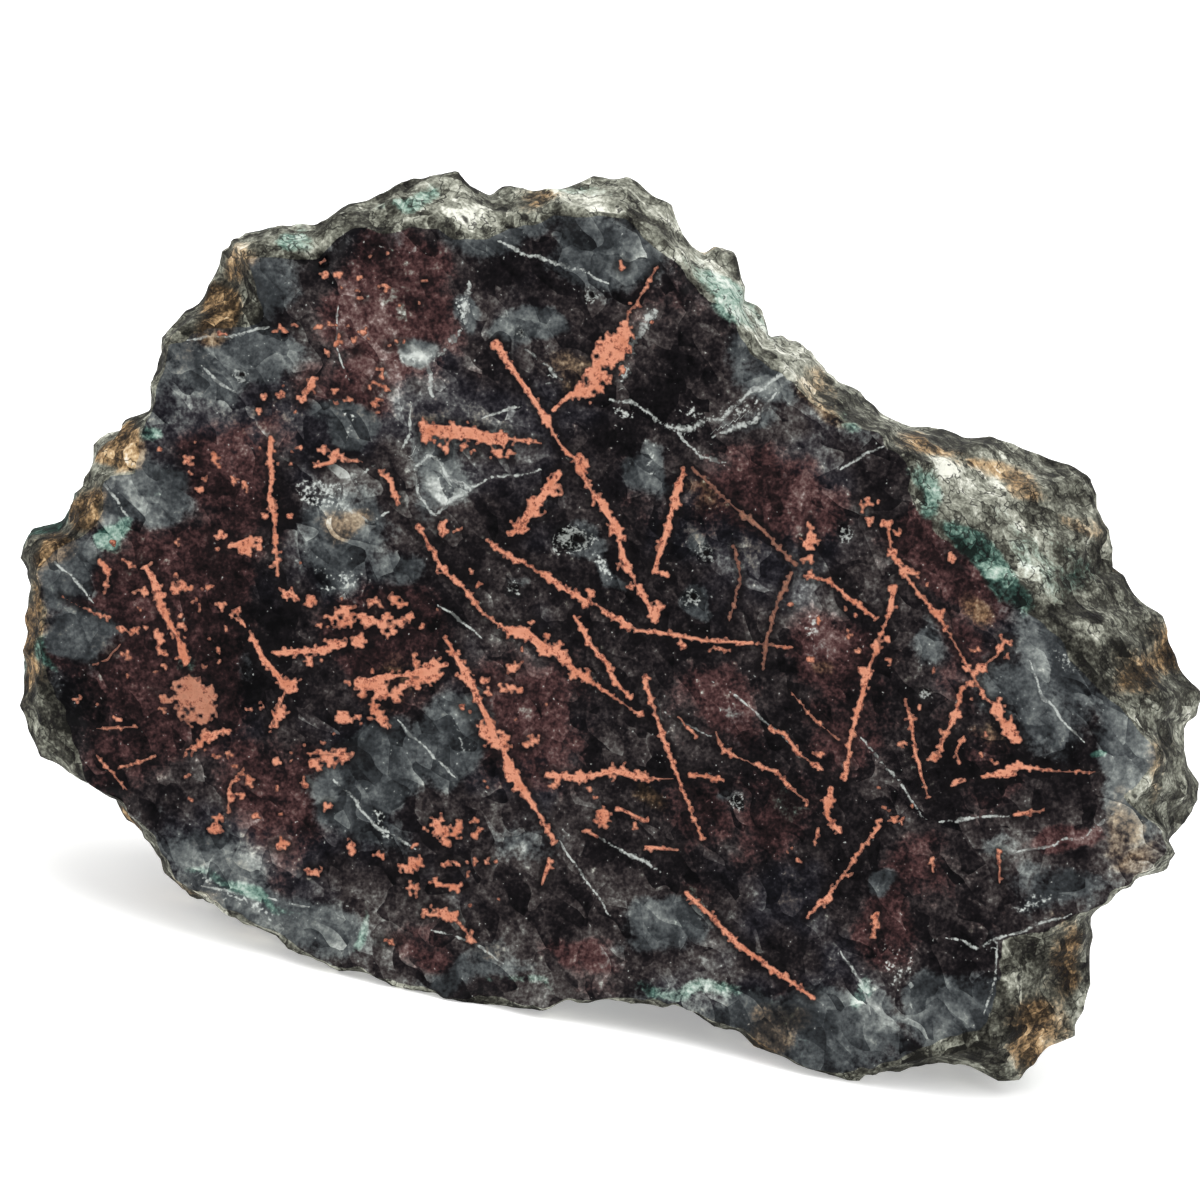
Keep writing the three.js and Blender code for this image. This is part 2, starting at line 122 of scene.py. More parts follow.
def outline_reach(outline, turn):
    """Distance from the face's middle to an outline along each turn: the ray cut with every edge."""
    start = (outline - MIDDLE) * (1.0, -1.0)
    edge = np.roll(start, -1, axis=0) - start
    ray = np.stack([np.cos(turn), np.sin(turn)], axis=-1)[:, None, :]
    cross = ray[..., 0] * edge[:, 1] - ray[..., 1] * edge[:, 0]
    along = (start[:, 0] * edge[:, 1] - start[:, 1] * edge[:, 0]) / cross
    share = (start[:, 0] * ray[..., 1] - start[:, 1] * ray[..., 0]) / cross
    return np.where((share >= 0) & (share <= 1), along, 0.0).max(axis=1)


def rim_depth(turn):
    """Depth of the silhouette behind the face, eased between the listed directions."""
    degrees = np.degrees(turn) % 360.0
    last = np.clip(np.searchsorted(RIM_DIRECTIONS, degrees, side="right") - 1, 0, len(RIM_DEPTHS) - 2)
    ease = smooth_step(degrees, RIM_DIRECTIONS[last], RIM_DIRECTIONS[last + 1])
    return RIM_DEPTHS[last] + ease * (RIM_DEPTHS[last + 1] - RIM_DEPTHS[last])


def cell_number(i, j, k, salt):
    """A repeatable number from 0 to 1 for each lattice cell: the tail of a fast sine wave."""
    return np.sin(i * 127.1 + j * 311.7 + k * 74.7 + salt * 53.3) * 43758.5453 % 1.0


def lumps(point):
    """Smooth lattice noise from -1 to 1: the eight cell corners weighted by eased distances."""
    base = np.floor(point)
    part = point - base
    part = part * part * (3.0 - 2.0 * part)
    total = 0.0
    for a, b, c in product((0, 1), repeat=3):
        weight = np.abs(1 - a - part[..., 0]) * np.abs(1 - b - part[..., 1]) * np.abs(1 - c - part[..., 2])
        total = total + weight * cell_number(base[..., 0] + a, base[..., 1] + b, base[..., 2] + c, 0)
    return 2.0 * total - 1.0


def flat_noise(x, y, size, layer):
    """Smooth noise over the sheet, -1 to 1: the lump noise on one layer, at the given size in mm."""
    return lumps(np.stack([x / size, y / size, np.full_like(x, layer)], axis=-1))


TURN_SAMPLES = np.linspace(0.0, 2.0 * math.pi, 7201)


def ragged_reach(outline, coarse, fine):
    """Reach of an outline along TURN_SAMPLES, pushed in and out by noise about 3 mm and 1.1 mm long."""
    reach = outline_reach(outline, TURN_SAMPLES + 1e-9)
    x, y = reach * np.cos(TURN_SAMPLES), reach * np.sin(TURN_SAMPLES)
    return reach + coarse * flat_noise(x, y, 3.0, 21.0) + fine * flat_noise(x, y, 1.1, 25.0)


# The silhouette lies behind the face, so the camera 900 mm away sees it smaller by its depth's share of that.
SILHOUETTE_REACH = ragged_reach(SILHOUETTE, 0.15, 0.14) * (1.0 + rim_depth(TURN_SAMPLES) / CAMERA_GAP)
SAWN_REACH = ragged_reach(SAWN_FACE, 0.60, 0.35)


NEIGHBOUR_CELLS = list(product((-1, 0, 1), repeat=3))
SCAR_MEAN = 0.3


def scars(point):
    """Shell-shaped scars: squared distance to the nearest of a jittered lattice of points, less its mean."""
    base = np.floor(point)
    nearest = np.full(point.shape[:-1], np.inf)
    for step in NEIGHBOUR_CELLS:
        cell = base + step
        i, j, k = cell[..., 0], cell[..., 1], cell[..., 2]
        gap = [point[..., axis] - cell[..., axis] - cell_number(i, j, k, axis + 1) for axis in range(3)]
        nearest = np.minimum(nearest, gap[0] ** 2 + gap[1] ** 2 + gap[2] ** 2)
    return nearest - SCAR_MEAN


def broken_relief(point):
    """The stone's coarse relief in mm: shell scars 11 mm wide on lumps 15 mm wide."""
    return 3.6 * scars(point / 11.0) + 2.2 * lumps(point / 15.0)


DEPTH_STRETCH = 1.9


def rind_relief(point):
    """The rind's fine relief in mm: small flakes, pits and a sandy grain, each half the size of the last.
    They are drawn out along the depth, as the stone split that way."""
    point = point * (1.0, 1.0, 1.0 / DEPTH_STRETCH)
    flakes = 1.5 * scars(point / 4.4 + 5.0)
    pits = 0.35 * scars(point / 2.2 + 9.0)
    grain = 0.14 * lumps(point / 1.9 + 3.0)
    return flakes + pits + grain


RIM_ROUGHNESS = 0.22
BACK_ROUGHNESS_START = 0.25
FACE_RINGS = 118
RIND_RINGS = 29
BACK_RINGS = FACE_RINGS // 2
POINTS_PER_RING = 8


def ring_disc(rings):
    """Rings round a middle, each with eight points more than the last: ring number and turn per point."""
    number = np.repeat(np.arange(1, rings + 1), POINTS_PER_RING * np.arange(1, rings + 1))
    start = 1 + POINTS_PER_RING // 2 * number * (number - 1)
    step = np.arange(1, len(number) + 1) - start
    turn = 2.0 * math.pi * step / (POINTS_PER_RING * number)
    return np.r_[0, number], np.r_[0.0, turn]


def ring_disc_faces(rings):
    """Triangles of such a disc: each ring's side joins the next ring's, with one cell less at each corner."""
    number, _ = ring_disc(rings)
    number = number[1:]
    start = 1 + POINTS_PER_RING // 2 * number * (number - 1)
    step = np.arange(1, len(number) + 1) - start
    count = POINTS_PER_RING * number
    inner_count = np.maximum(count - POINTS_PER_RING, 1)
    inner_start = np.where(number == 1, 0, start - POINTS_PER_RING * (number - 1))
    side, along = np.divmod(step, 2 * number)
    inner_side = 2 * (number - 1)
    low = inner_start + (side * inner_side + np.maximum(along - 1, 0)) % inner_count
    high = inner_start + (side * inner_side + np.minimum(along, inner_side)) % inner_count
    here = start + step
    after = start + (step + 1) % count
    past_middle = along >= number
    outer_cells = np.stack([here, after, np.where(past_middle, low, high)], axis=1)
    inner_cells = np.stack([np.where(past_middle, after, here), high, low], axis=1)
    return np.concatenate([outer_cells, inner_cells[low != high]])


CHIP_DEPTH = 1.1
CHIP_WIDTH = 1.1


def edge_chips(right, up, gap):
    """How far the sawn edge is chipped away, in mm: noise above a level, fading with the gap to the edge."""
    flake = 0.7 * flat_noise(right, up, 3.4, 31.0) + 0.5 * flat_noise(right, up, 1.3, 33.0)
    return CHIP_DEPTH * np.clip(flake + 0.1, 0.0, 1.0) * np.exp(-(gap / CHIP_WIDTH) ** 2)


def from_middle(reach, turn):
    """Face coordinates in mm of the points at a reach from the face's middle along a turn."""
    return MIDDLE[0] - SHEET / 2 + reach * np.cos(turn), SHEET / 2 - MIDDLE[1] + reach * np.sin(turn)


def face_surface():
    """The sawn face: each ring a share of the sawn outline, flat but for the hollows' bowls."""
    number, turn = ring_disc(FACE_RINGS)
    reach = np.interp(turn, TURN_SAMPLES, SAWN_REACH) * number / FACE_RINGS
    right, up = from_middle(reach, turn)
    gap = np.interp(turn, TURN_SAMPLES, SAWN_REACH) - reach
    return right, up, -edge_chips(right, up, gap), gap


def rind_surface():
    """The rind from the sawn edge to the silhouette: a rounded slope, roughened along its own normal."""
    turn = np.tile(2.0 * math.pi * np.arange(RIM_POINTS) / RIM_POINTS, RIND_RINGS)
    share = np.repeat(np.arange(1, RIND_RINGS + 1) / RIND_RINGS, RIM_POINTS)
    sawn = np.interp(turn, TURN_SAMPLES, SAWN_REACH)
    width = np.interp(turn, TURN_SAMPLES, SILHOUETTE_REACH) - sawn
    rim = rim_depth(turn)
    reach = sawn + width * share
    depth = rim * share ** RIND_BULGE
    right, up = from_middle(reach, turn)
    point = np.stack([right, up, -depth], axis=1)
    coarse = RIM_ROUGHNESS * share * broken_relief(point)
    fall = rim * RIND_BULGE * share ** (RIND_BULGE - 1.0)
    length = np.hypot(fall, width) + 1e-9
    ramp = smooth_step(np.hypot(width * share, depth), 0.0, 1.6)
    fine = ramp * rind_relief(point)
    lateral = coarse + fine * fall / length
    point[:, 0] += lateral * np.cos(turn)
    point[:, 1] += lateral * np.sin(turn)
    point[:, 2] += fine * width / length - edge_chips(right, up, np.hypot(width * share, depth))
    return point[:, 0], point[:, 1], point[:, 2]


def back_surface(number, turn):
    """The back from the silhouette to its middle: a squared ellipse with an upright far wall, roughened."""
    share = 1.0 - number / (BACK_RINGS + 1)
    rim = rim_depth(turn)
    spread = np.cos(share * math.pi / 2).clip(0.0) ** (2.0 / BACK_SQUARENESS)
    sink = np.sin(share * math.pi / 2) ** (2.0 / BACK_SQUARENESS)
    reach = np.interp(turn, TURN_SAMPLES, SILHOUETTE_REACH) * spread
    right, up = from_middle(reach, turn)
    slope = right * math.sin(FACE_ROLL) + up * math.cos(FACE_ROLL)
    wall = (BACK_REACH - slope * math.sin(FACE_LEAN)) / math.cos(FACE_LEAN)
    depth = rim + sink * (np.maximum(wall, rim + THINNEST_BACK) - rim)
    lift = UNDERSIDE_LIFT * (depth - rim)
    point = np.stack([right - lift * math.sin(FACE_ROLL), up + lift * math.cos(FACE_ROLL), -depth], axis=1)
    sideways = spread ** (BACK_SQUARENESS - 1.0)
    backward = sink ** (BACK_SQUARENESS - 1.0)
    length = np.hypot(sideways, backward)
    outward = np.stack([sideways * np.cos(turn), sideways * np.sin(turn), -backward], axis=1)
    outward = outward / length[:, None]
    strength = RIM_ROUGHNESS + (1.0 - RIM_ROUGHNESS) * smooth_step(share, 0.0, BACK_ROUGHNESS_START)
    relief = strength * broken_relief(point) + rind_relief(point)
    point = point + relief[:, None] * outward
    return point[:, 0], point[:, 1], point[:, 2]


RIM_POINTS = POINTS_PER_RING * FACE_RINGS
face_right, face_up, face_out, face_gap = face_surface()
rind_right, rind_up, rind_out = rind_surface()
back_right, back_up, back_out = back_surface(*ring_disc(BACK_RINGS))
FACE_POINTS = len(face_right)
RIND_POINTS = len(rind_right)
BACK_POINTS = len(back_right)

# Each hollow is the lower half of a squashed ball with a ragged edge and a crystalline floor; its deep
# middle, a little up and to the right, gets painted shade.
sheet_x = face_right + SHEET / 2
sheet_y = SHEET / 2 - face_up
druse = np.zeros(FACE_POINTS)
painted_hollow_shade = np.zeros(FACE_POINTS)
ragged = 0.22 * flat_noise(sheet_x, sheet_y, 0.8, 0.0) + 0.18 * flat_noise(sheet_x, sheet_y, 1.9, 4.0)
for x, y, length, breadth, depth in HOLLOWS:
    across = np.hypot((sheet_x - x) / (length / 2), (sheet_y - y) / (breadth / 2)) + ragged
    face_out = np.minimum(face_out, -depth * np.sqrt(np.clip(1.0 - across ** 2, 0.0, 1.0)))
    druse = np.maximum(druse, min(1.0, 0.40 + 0.2 * breadth) * (1.0 - smooth_step(across, 0.5, 1.4)))
    across = np.hypot((sheet_x - x) / (length / 2) - 0.2, (sheet_y - y) / (breadth / 2) + 0.2) + ragged
    painted_hollow_shade = np.maximum(painted_hollow_shade, 1.0 - smooth_step(across, 0.1, 0.65))
face_out = face_out - 0.25 * smooth_step(-face_out, 0.05, 0.5) * flat_noise(sheet_x, sheet_y, 0.5, 2.0)

stone_points = np.concatenate([
    in_part_frame(face_right, face_up, face_out),
    in_part_frame(rind_right, rind_up, rind_out),
    in_part_frame(back_right, back_up, back_out),
])
stone_points[:, 2] = np.maximum(stone_points[:, 2], 0.0)


def band_faces(upper, lower):
    """Two triangles for each cell between two rings of the rind, the upper one nearer the face."""
    step = np.arange(RIM_POINTS)
    after = (step + 1) % RIM_POINTS
    first = np.stack([upper + step, lower + step, lower + after], axis=1)
    second = np.stack([upper + step, lower + after, upper + after], axis=1)
    return np.concatenate([first, second])


def halving_faces(upper, lower):
    """Three triangles for each pair of cells where the rim passes to a ring with half the points."""
    step = np.arange(RIM_POINTS // 2)
    after = (step + 1) % (RIM_POINTS // 2)
    even, odd, even_after = upper + 2 * step, upper + 2 * step + 1, upper + 2 * after
    return np.concatenate([
        np.stack([even, lower + step, odd], axis=1),
        np.stack([odd, lower + step, lower + after], axis=1),
        np.stack([odd, lower + after, even_after], axis=1),
    ])


ring_starts = np.r_[FACE_POINTS - RIM_POINTS, FACE_POINTS + RIM_POINTS * np.arange(RIND_RINGS)]
back_start = FACE_POINTS + RIND_POINTS
back_rim = back_start + BACK_POINTS - RIM_POINTS // 2
stone_faces = np.concatenate(
    [ring_disc_faces(FACE_RINGS)]
    + [band_faces(upper, lower) for upper, lower in zip(ring_starts[:-1], ring_starts[1:])]
    + [halving_faces(ring_starts[-1], back_rim)]
    + [ring_disc_faces(BACK_RINGS)[:, ::-1] + back_start]
)


def mesh_piece(name, points, faces):
    """A mesh object at the origin from whole arrays of points and triangles, shaded smooth."""
    mesh = bpy.data.meshes.new(name)
    mesh.vertices.add(len(points))
    mesh.vertices.foreach_set("co", points.astype(np.float32).ravel())
    mesh.loops.add(faces.size)
    mesh.loops.foreach_set("vertex_index", faces.astype(np.int32).ravel())
    mesh.polygons.add(len(faces))
    mesh.polygons.foreach_set("loop_start", np.arange(0, faces.size, 3, dtype=np.int32))
    mesh.update(calc_edges=True)
    mesh.validate()
    mesh.shade_smooth()
    piece = bpy.data.objects.new(name, mesh)
    bpy.context.scene.collection.objects.link(piece)
    return piece


def paint(piece, name, values):
    """Keeps one number or one vector for each point of the piece under a name its material can read."""
    kind = "FLOAT" if values.ndim == 1 else "FLOAT_VECTOR"
    layer = piece.data.attributes.new(name, kind, "POINT")
    layer.data.foreach_set("value" if values.ndim == 1 else "vector", values.astype(np.float32).ravel())


stone = mesh_piece("sawn_stone", stone_points, stone_faces)

# Where each mineral shows on the sheet: place, half length, half breadth in mm, turn in degrees, strength.
CUPRITE_STAINS = [
    (37.5, 31, 9, 10, 0, 0.85), (24.5, 47.5, 7.5, 10.5, 10, 0.9), (16, 67, 12, 12.5, 0, 0.95),
    (27, 79.5, 9, 8, 0, 0.7), (37, 64, 8.5, 7.5, 0, 0.7), (55, 71.5, 12, 8, -30, 0.75),
    (77.5, 49.5, 7, 7, 30, 0.8), (96.5, 56.5, 8, 5, -42, 1.3), (97, 66, 5, 8, 0, 0.7),
    (88.5, 92.5, 4.5, 5, 0, 0.8), (42, 92.5, 6, 4, -20, 0.7), (98.5, 76, 6, 5, 0, 0.65),
    (108, 83, 5, 1.6, 15, 0.8), (59, 96, 6, 1.6, -15, 0.7), (71, 70.5, 7, 5, -30, 0.5),
    (77, 85, 6, 5, 0, 0.55), (86, 71, 5, 7, 20, 0.6), (20, 58, 7, 6, 0, 0.85), (70, 81, 6, 4, 0, 0.6),
    (33, 39, 6, 4, 0, 0.8), (92, 86, 4, 5, 0, 0.5), (84, 64.5, 4.6, 5.6, 10, 1),
]
CHALCEDONY_CLOUDS = [
    (25, 35.8, 7.5, 3.6, 8, 1.2), (14.5, 50.2, 5, 3.6, -10, 1.3), (8.6, 63.4, 3.2, 3.2, -20, 1.3),
    (7.5, 57, 3.6, 3.2, 0, 0.9), (33.6, 42, 3.6, 2.2, -40, 1.2), (35, 53, 5.6, 6.4, 0, 0.9),
    (43.5, 48.5, 4.6, 4.4, -35, 0.8), (54, 32.2, 4.2, 2.6, 0, 1.2), (61, 26, 6.5, 4.6, -20, 1.25),
    (51, 22.4, 7, 2.6, 0, 0.8), (65.8, 47.6, 2.6, 4.2, 0, 0.9), (73, 73.5, 4, 3.6, -30, 0.55),
    (65.3, 92.6, 6.5, 4.6, 10, 1.1), (44.5, 73.5, 5, 6, -40, 1.2), (36.5, 77.5, 4.6, 7.5, -30, 1.3),
    (53, 84.5, 3.6, 3.2, 0, 0.6), (89, 88.5, 2.6, 2.4, 0, 1.1), (105, 69, 7, 9, 30, 0.9),
    (113.5, 75.5, 4.5, 9, 10, 1), (104.5, 88.5, 6.5, 4.5, 0, 1), (84, 102, 7, 5, 0, 1),
    (95, 101, 7, 4.5, 0, 1.1), (29, 91.5, 8.5, 3.4, -18, 1.1), (47.5, 97, 8, 2.6, 0, 0.8),
    (24.8, 66, 2.8, 3.6, 0, 0.7), (58.8, 56.4, 3.6, 1.6, -45, 0.6), (83.8, 64.2, 3.4, 4.6, 10, 0.4),
    (92.2, 65, 2.6, 3.2, 0, 0.9), (76, 37, 5, 4, -40, 0.8), (75.5, 42.5, 5, 2.2, 20, 0.7),
    (47.2, 30.4, 1.6, 3.2, 0, 1.1), (42.4, 35.4, 2.6, 1.8, 0, 1), (20.5, 27.5, 3.5, 4, 0, 0.7),
    (57, 54.4, 3.2, 2.6, -40, 0.9), (59.6, 57.6, 3.2, 1.3, -48, 0.9), (69.2, 60, 1.8, 1.6, 0, 0.8),
    (70.5, 55.5, 1.6, 1.5, 0, 0.8), (51.5, 59, 1.2, 1.2, 0, 0.7), (73.5, 80.1, 1.4, 1.4, 0, 0.8),
    (27, 28.5, 4.5, 3.4, 0, 0.8), (22.5, 87.5, 6, 3, -25, 0.8), (76, 102.5, 5, 2.4, 0, 0.8),
    (40.5, 56.5, 3, 2.6, 0, 0.7), (100.5, 84, 5, 2.6, -15, 0.6), (39.5, 83, 3.4, 3, -45, 0.6),
]
SMOKY_DARKS = [
    (68.5, 34.5, 5, 6, 0, 1), (52, 27, 5, 2.4, 0, 1), (46.5, 37, 4.2, 3.4, 0, 1),
    (81.5, 48.5, 4.5, 2.6, 0, 1), (61.5, 55, 7, 8, 0, 0.7), (70, 64, 7, 6, 0, 0.6),
    (93, 77, 4, 6, 0, 0.7), (98, 91, 4, 8, 0, 0.6), (83.5, 55, 4, 4, 0, 0.6), (62, 43, 4, 4, 0, 0.7),
    (24, 69.5, 3, 3.6, 0, 0.8), (56, 91, 3, 5, 0, 0.7), (62, 85, 5, 2.6, -30, 0.7),
    (78, 94, 5, 4, 0, 0.5), (102.5, 72, 2.6, 5, 0, 0.5), (49, 58, 3, 4, -40, 0.5),
    (36.4, 49, 2.2, 2.2, 0, 0.9), (101, 58, 2.6, 2, 0, 1), (103.5, 99, 5, 8, 0, 1),
    (117, 74, 4, 9, 0, 0.9), (114, 67, 4, 5, 0, 0.6), (97, 54.6, 8, 1.5, -42, 1),
    (99.6, 57.2, 6, 2.2, -42, 1.5), (102.5, 60.4, 2.5, 2, 0, 1), (90.6, 47, 1.2, 4, 10, 0.9),
]
IRON_STAINS = [
    (21.8, 30, 3, 3.2, 0, 1.5), (11.6, 45.6, 3.4, 2.6, 0, 1.6), (8.2, 50.8, 2.6, 2.4, 0, 1.3),
    (4.4, 54.6, 3, 2.4, 0, 1.4), (104, 103.5, 5.5, 4.4, -40, 0.9), (115, 66.5, 5, 5, 0, 1.2),
    (101.5, 47.6, 7, 1.9, -15, 1), (78, 103.3, 4, 2.4, 20, 0.9), (93.5, 44.5, 4.5, 1.6, -10, 0.9),
    (117.5, 77.5, 2.6, 6, 0, 0.9), (35, 51.4, 2.6, 1.8, 0, 1.1), (114.5, 86, 3.4, 2.6, 0, 0.8),
    (113.4, 82, 2.6, 4.5, 0, 0.7), (23.4, 25.5, 2.2, 2.6, 0, 0.9), (54, 20.2, 3.6, 1.8, 0, 0.6),
    (107, 96, 2.6, 5, 0, 1), (3.2, 64, 2.4, 8, 0, 1), (109.5, 52.5, 2.6, 4, 30, 0.9),
    (83, 39, 5, 1.2, -35, 0.7), (66, 79.8, 2.2, 1.8, 0, 1), (99.5, 73.5, 3, 3, 0, 0.6),
    (83.2, 66.4, 2, 2, 0, 0.8), (56, 37.4, 3.4, 2, -30, 0.7), (38.5, 68.5, 5, 3, 0, 0.5),
    (50, 96, 4, 1.4, 0, 0.6), (97.5, 60.6, 2.4, 2, 0, 0.8), (43, 95.8, 3, 1.4, 10, 0.7),
    (71, 49, 3, 2, -40, 0.5),
]
COPPER_SALTS = [
    (29, 23.8, 3.2, 1.8, 0, 1.2), (10.8, 53.6, 2, 1.8, 0, 1.1), (99.4, 57, 6.5, 1.9, -42, 1.5),
    (102.4, 59.6, 1, 2, 0, 1), (111.2, 76.8, 2, 0.7, 0, 1.3), (24, 88.8, 7.5, 1, -10, 0.9),
    (35.5, 92.5, 1.1, 4.4, 0, 0.8), (70, 100.3, 8, 1.1, -6, 0.75), (86, 99, 1.1, 3, 0, 0.7),
    (92.8, 49.4, 4, 1.5, -60, 0.85), (105, 56.5, 7, 4, -40, 0.6), (19, 36.2, 3.2, 0.8, -50, 0.8),
    (15.3, 44.4, 1.8, 1.2, 30, 0.9), (41.5, 20, 4, 1.2, 20, 0.8), (58, 19.2, 5, 1.3, 0, 0.8),
    (49.5, 91, 2.2, 1.4, 20, 0.6), (5.3, 66, 0.9, 3.4, 0, 0.7), (74.5, 30.4, 10, 1.8, -46, 0.85),
    (52, 98.9, 6, 1.1, 0, 0.65), (67, 22.5, 3, 1.4, -50, 0.7), (85.5, 40.5, 4, 1.2, -38, 0.6),
]
# Where the chalcedony is milky or the rind is weathered pale. The bands along the upper edge are partly
# painted light: the bevel there faces the light, and it is painted paler than its weathering alone.
PALE_AND_LIT_PLACES = [
    (102, 50.6, 10, 6, -25, 2.5), (45, 20, 10, 3, 10, 1.8), (74, 27, 9, 3, -48, 1.3),
    (112, 62, 6, 6, -50, 0.8), (64, 19.5, 4, 2, 0, 1), (4, 66, 3, 9, 0, 1.3), (88, 41, 6, 2, -35, 0.9),
    (28.5, 23.8, 7, 2.4, 0, 1.9), (33.6, 41.8, 2, 1.2, -40, 1), (43, 35.4, 2, 1.4, 0, 1),
    (54, 32, 3, 1.6, 0, 0.9), (83.8, 64.2, 3.8, 4.8, 10, 2.6), (8.6, 63.2, 2.2, 2.4, 0, 1),
    (14.5, 50, 4, 2.4, -10, 0.7), (92.2, 65, 2, 2.4, 0, 0.7), (58.8, 56.6, 2.6, 1.2, -45, 1),
    (89, 88.5, 2, 2, 0, 0.8), (65, 92.6, 4, 2.6, 10, 0.5), (96, 101, 5, 3, 0, 0.1),
    (66, 47.6, 1.4, 2.6, 0, 0.8), (44, 71.5, 2, 4, 40, 0.6), (113, 78, 3, 4, 0, 0.6),
    (35.4, 57, 3.4, 1.6, 0, 0.7), (29, 92.5, 6, 1.8, -18, 0.5), (21.8, 30, 3, 3.2, 0, 0.6),
    (11.6, 45.6, 3.4, 2.6, 0, 0.6), (8.2, 50.8, 2.6, 2.4, 0, 0.6), (4.4, 54.6, 3, 2.4, 0, 0.9),
    (56.6, 54.8, 3, 2, -40, 0.8), (69.5, 25, 8, 2.2, -46, 3.4), (79, 34.6, 9, 2.2, -44, 3.2),
    (65, 20.5, 4, 2.6, -30, 1.6), (56, 20.6, 9.5, 2.6, 0, 2.6), (39, 21, 6, 2, 20, 1.7),
    (18.5, 34.5, 4.4, 2.6, 45, 1),
]
# Flat skins of small quartz crystals.
DRUSY_PATCHES = [
    (58.9, 56.4, 2.6, 0.9, -48, 0.7), (47, 30.2, 0.9, 2.4, 0, 0.9), (31.8, 50.2, 1.5, 1.9, 0, 0.6),
    (35, 56.6, 4.2, 1.6, -10, 0.55), (42, 35.6, 1.6, 0.8, 0, 0.7), (33.4, 41.6, 1.6, 0.8, -40, 0.6),
    (71, 42.4, 2.4, 0.9, -10, 0.6), (63.2, 39.8, 2.2, 0.7, -20, 0.6), (65.6, 46.8, 0.8, 2.4, 0, 0.5),
    (82.2, 62, 1.6, 1.6, 0, 0.6), (44.6, 49.6, 2, 1.6, 0, 0.55), (106, 65.6, 1.2, 3, 30, 0.5),
    (75, 41, 3, 0.7, 30, 0.6), (38.4, 81.4, 0.9, 3, 40, 0.55), (104.5, 91, 4, 1, 10, 0.5),
    (88.6, 97.4, 1.4, 2.4, 0, 0.5), (24, 89.8, 6, 0.8, -16, 0.6), (45.4, 73.4, 0.8, 3, 38, 0.5),
]


def turned(right, down, degrees):
    """Offsets on the sheet, along and aside of a line turned up from the right by some degrees."""
    angle = math.radians(degrees)
    along = right * math.cos(angle) - down * math.sin(angle)
    aside = right * math.sin(angle) + down * math.cos(angle)
    return along, aside


def stained(x, y, patches):
    """How strongly a mineral shows: the strongest of soft ellipses, fading from the half size outwards.
    The ellipses are bent out of round by noise about 7 mm and 2.6 mm long."""
    x = x + 1.7 * flat_noise(x, y, 7.0, 41.0) + 1.0 * flat_noise(x, y, 2.6, 43.0)
    y = y + 1.7 * flat_noise(x, y, 7.0, 45.0) + 1.0 * flat_noise(x, y, 2.6, 47.0)
    amount = np.zeros_like(x)
    for px, py, half_length, half_breadth, turn, strength in patches:
        along, aside = turned(x - px, y - py, turn)
        away = np.hypot(along / half_length, aside / half_breadth)
        amount = np.maximum(amount, strength * (1.0 - smooth_step(away, 0.3, 1.25)))
    return amount


def cloudy(point, size, layers):
    """Layered lump noise, each layer half the size and 0.62 of the strength of the last, spread so that
    its standard deviation is 1."""
    total = sum(0.62 ** k * lumps(point * 2.0 ** k / size + 17.3 * k) for k in range(layers))
    return (total - total.mean()) / total.std()


def fragments(point, size):
    """Angular fragments: a random number for the nearest of a jittered lattice of points, and a slope
    across it."""
    point = point / size
    base = np.floor(point)
    nearest = np.full(len(point), np.inf)
    chance = np.zeros(len(point))
    slope = np.zeros(len(point))
    for step in NEIGHBOUR_CELLS:
        i, j, k = (base + step).T
        away = point - base - step
        away = away - np.stack([cell_number(i, j, k, salt) for salt in (21, 22, 23)], axis=1)
        lean = np.stack([cell_number(i, j, k, salt) for salt in (24, 25, 26)], axis=1) - 0.5
        far = (away ** 2).sum(axis=1)
        closer = far < nearest
        nearest = np.where(closer, far, nearest)
        chance = np.where(closer, cell_number(i, j, k, 27), chance)
        slope = np.where(closer, (away * lean).sum(axis=1), slope)
    return 2.0 * chance - 1.0, slope / slope.std()


# Slow noises and angular fragments through the stone, drawn out along its depth, vary its tones.
stone_right = np.concatenate([face_right, rind_right, back_right])
stone_up = np.concatenate([face_up, rind_up, back_up])
stone_out = np.concatenate([face_out, rind_out, back_out])
stone_x = stone_right + SHEET / 2
stone_y = SHEET / 2 - stone_up
on_face = np.r_[np.ones(FACE_POINTS), np.zeros(RIND_POINTS + BACK_POINTS)]
on_back = np.r_[np.zeros(FACE_POINTS + RIND_POINTS), np.ones(BACK_POINTS)]
near_rim = np.r_[1.0 - smooth_step(face_gap, 0.3, 6.0), np.ones(RIND_POINTS + BACK_POINTS)]
in_stone = np.stack([stone_right, stone_up, stone_out / DEPTH_STRETCH], axis=1)
clouds = cloudy(in_stone, 9.0, 4)
drift = cloudy(in_stone + 200.0, 10.0, 4)
shoals = cloudy(in_stone + 400.0, 12.0, 4)
bent = in_stone + 0.9 * np.stack([lumps(in_stone / 3.0 + shift) for shift in (3.0, 5.0, 8.0)], axis=1)
chunk, chunk_slope = fragments(bent, 6.5)
downhill = bent[:, 0] - bent[:, 1]
uphill = bent[:, 0] + bent[:, 1]
grain_along = np.stack([0.42 * downhill, 0.9 * uphill, bent[:, 2]], axis=1)
shard, shard_slope = fragments(grain_along + 30.0, 2.4)
facets = 0.024 * chunk + 0.030 * chunk_slope + 0.014 * shard + 0.022 * shard_slope
# How pale each place is; on the upper bevel this is partly painted light.
pale = stained(stone_x, stone_y, PALE_AND_LIT_PLACES)
fading = 1.0 - on_back
weathering = cloudy(in_stone + 600.0, 24.0, 4)

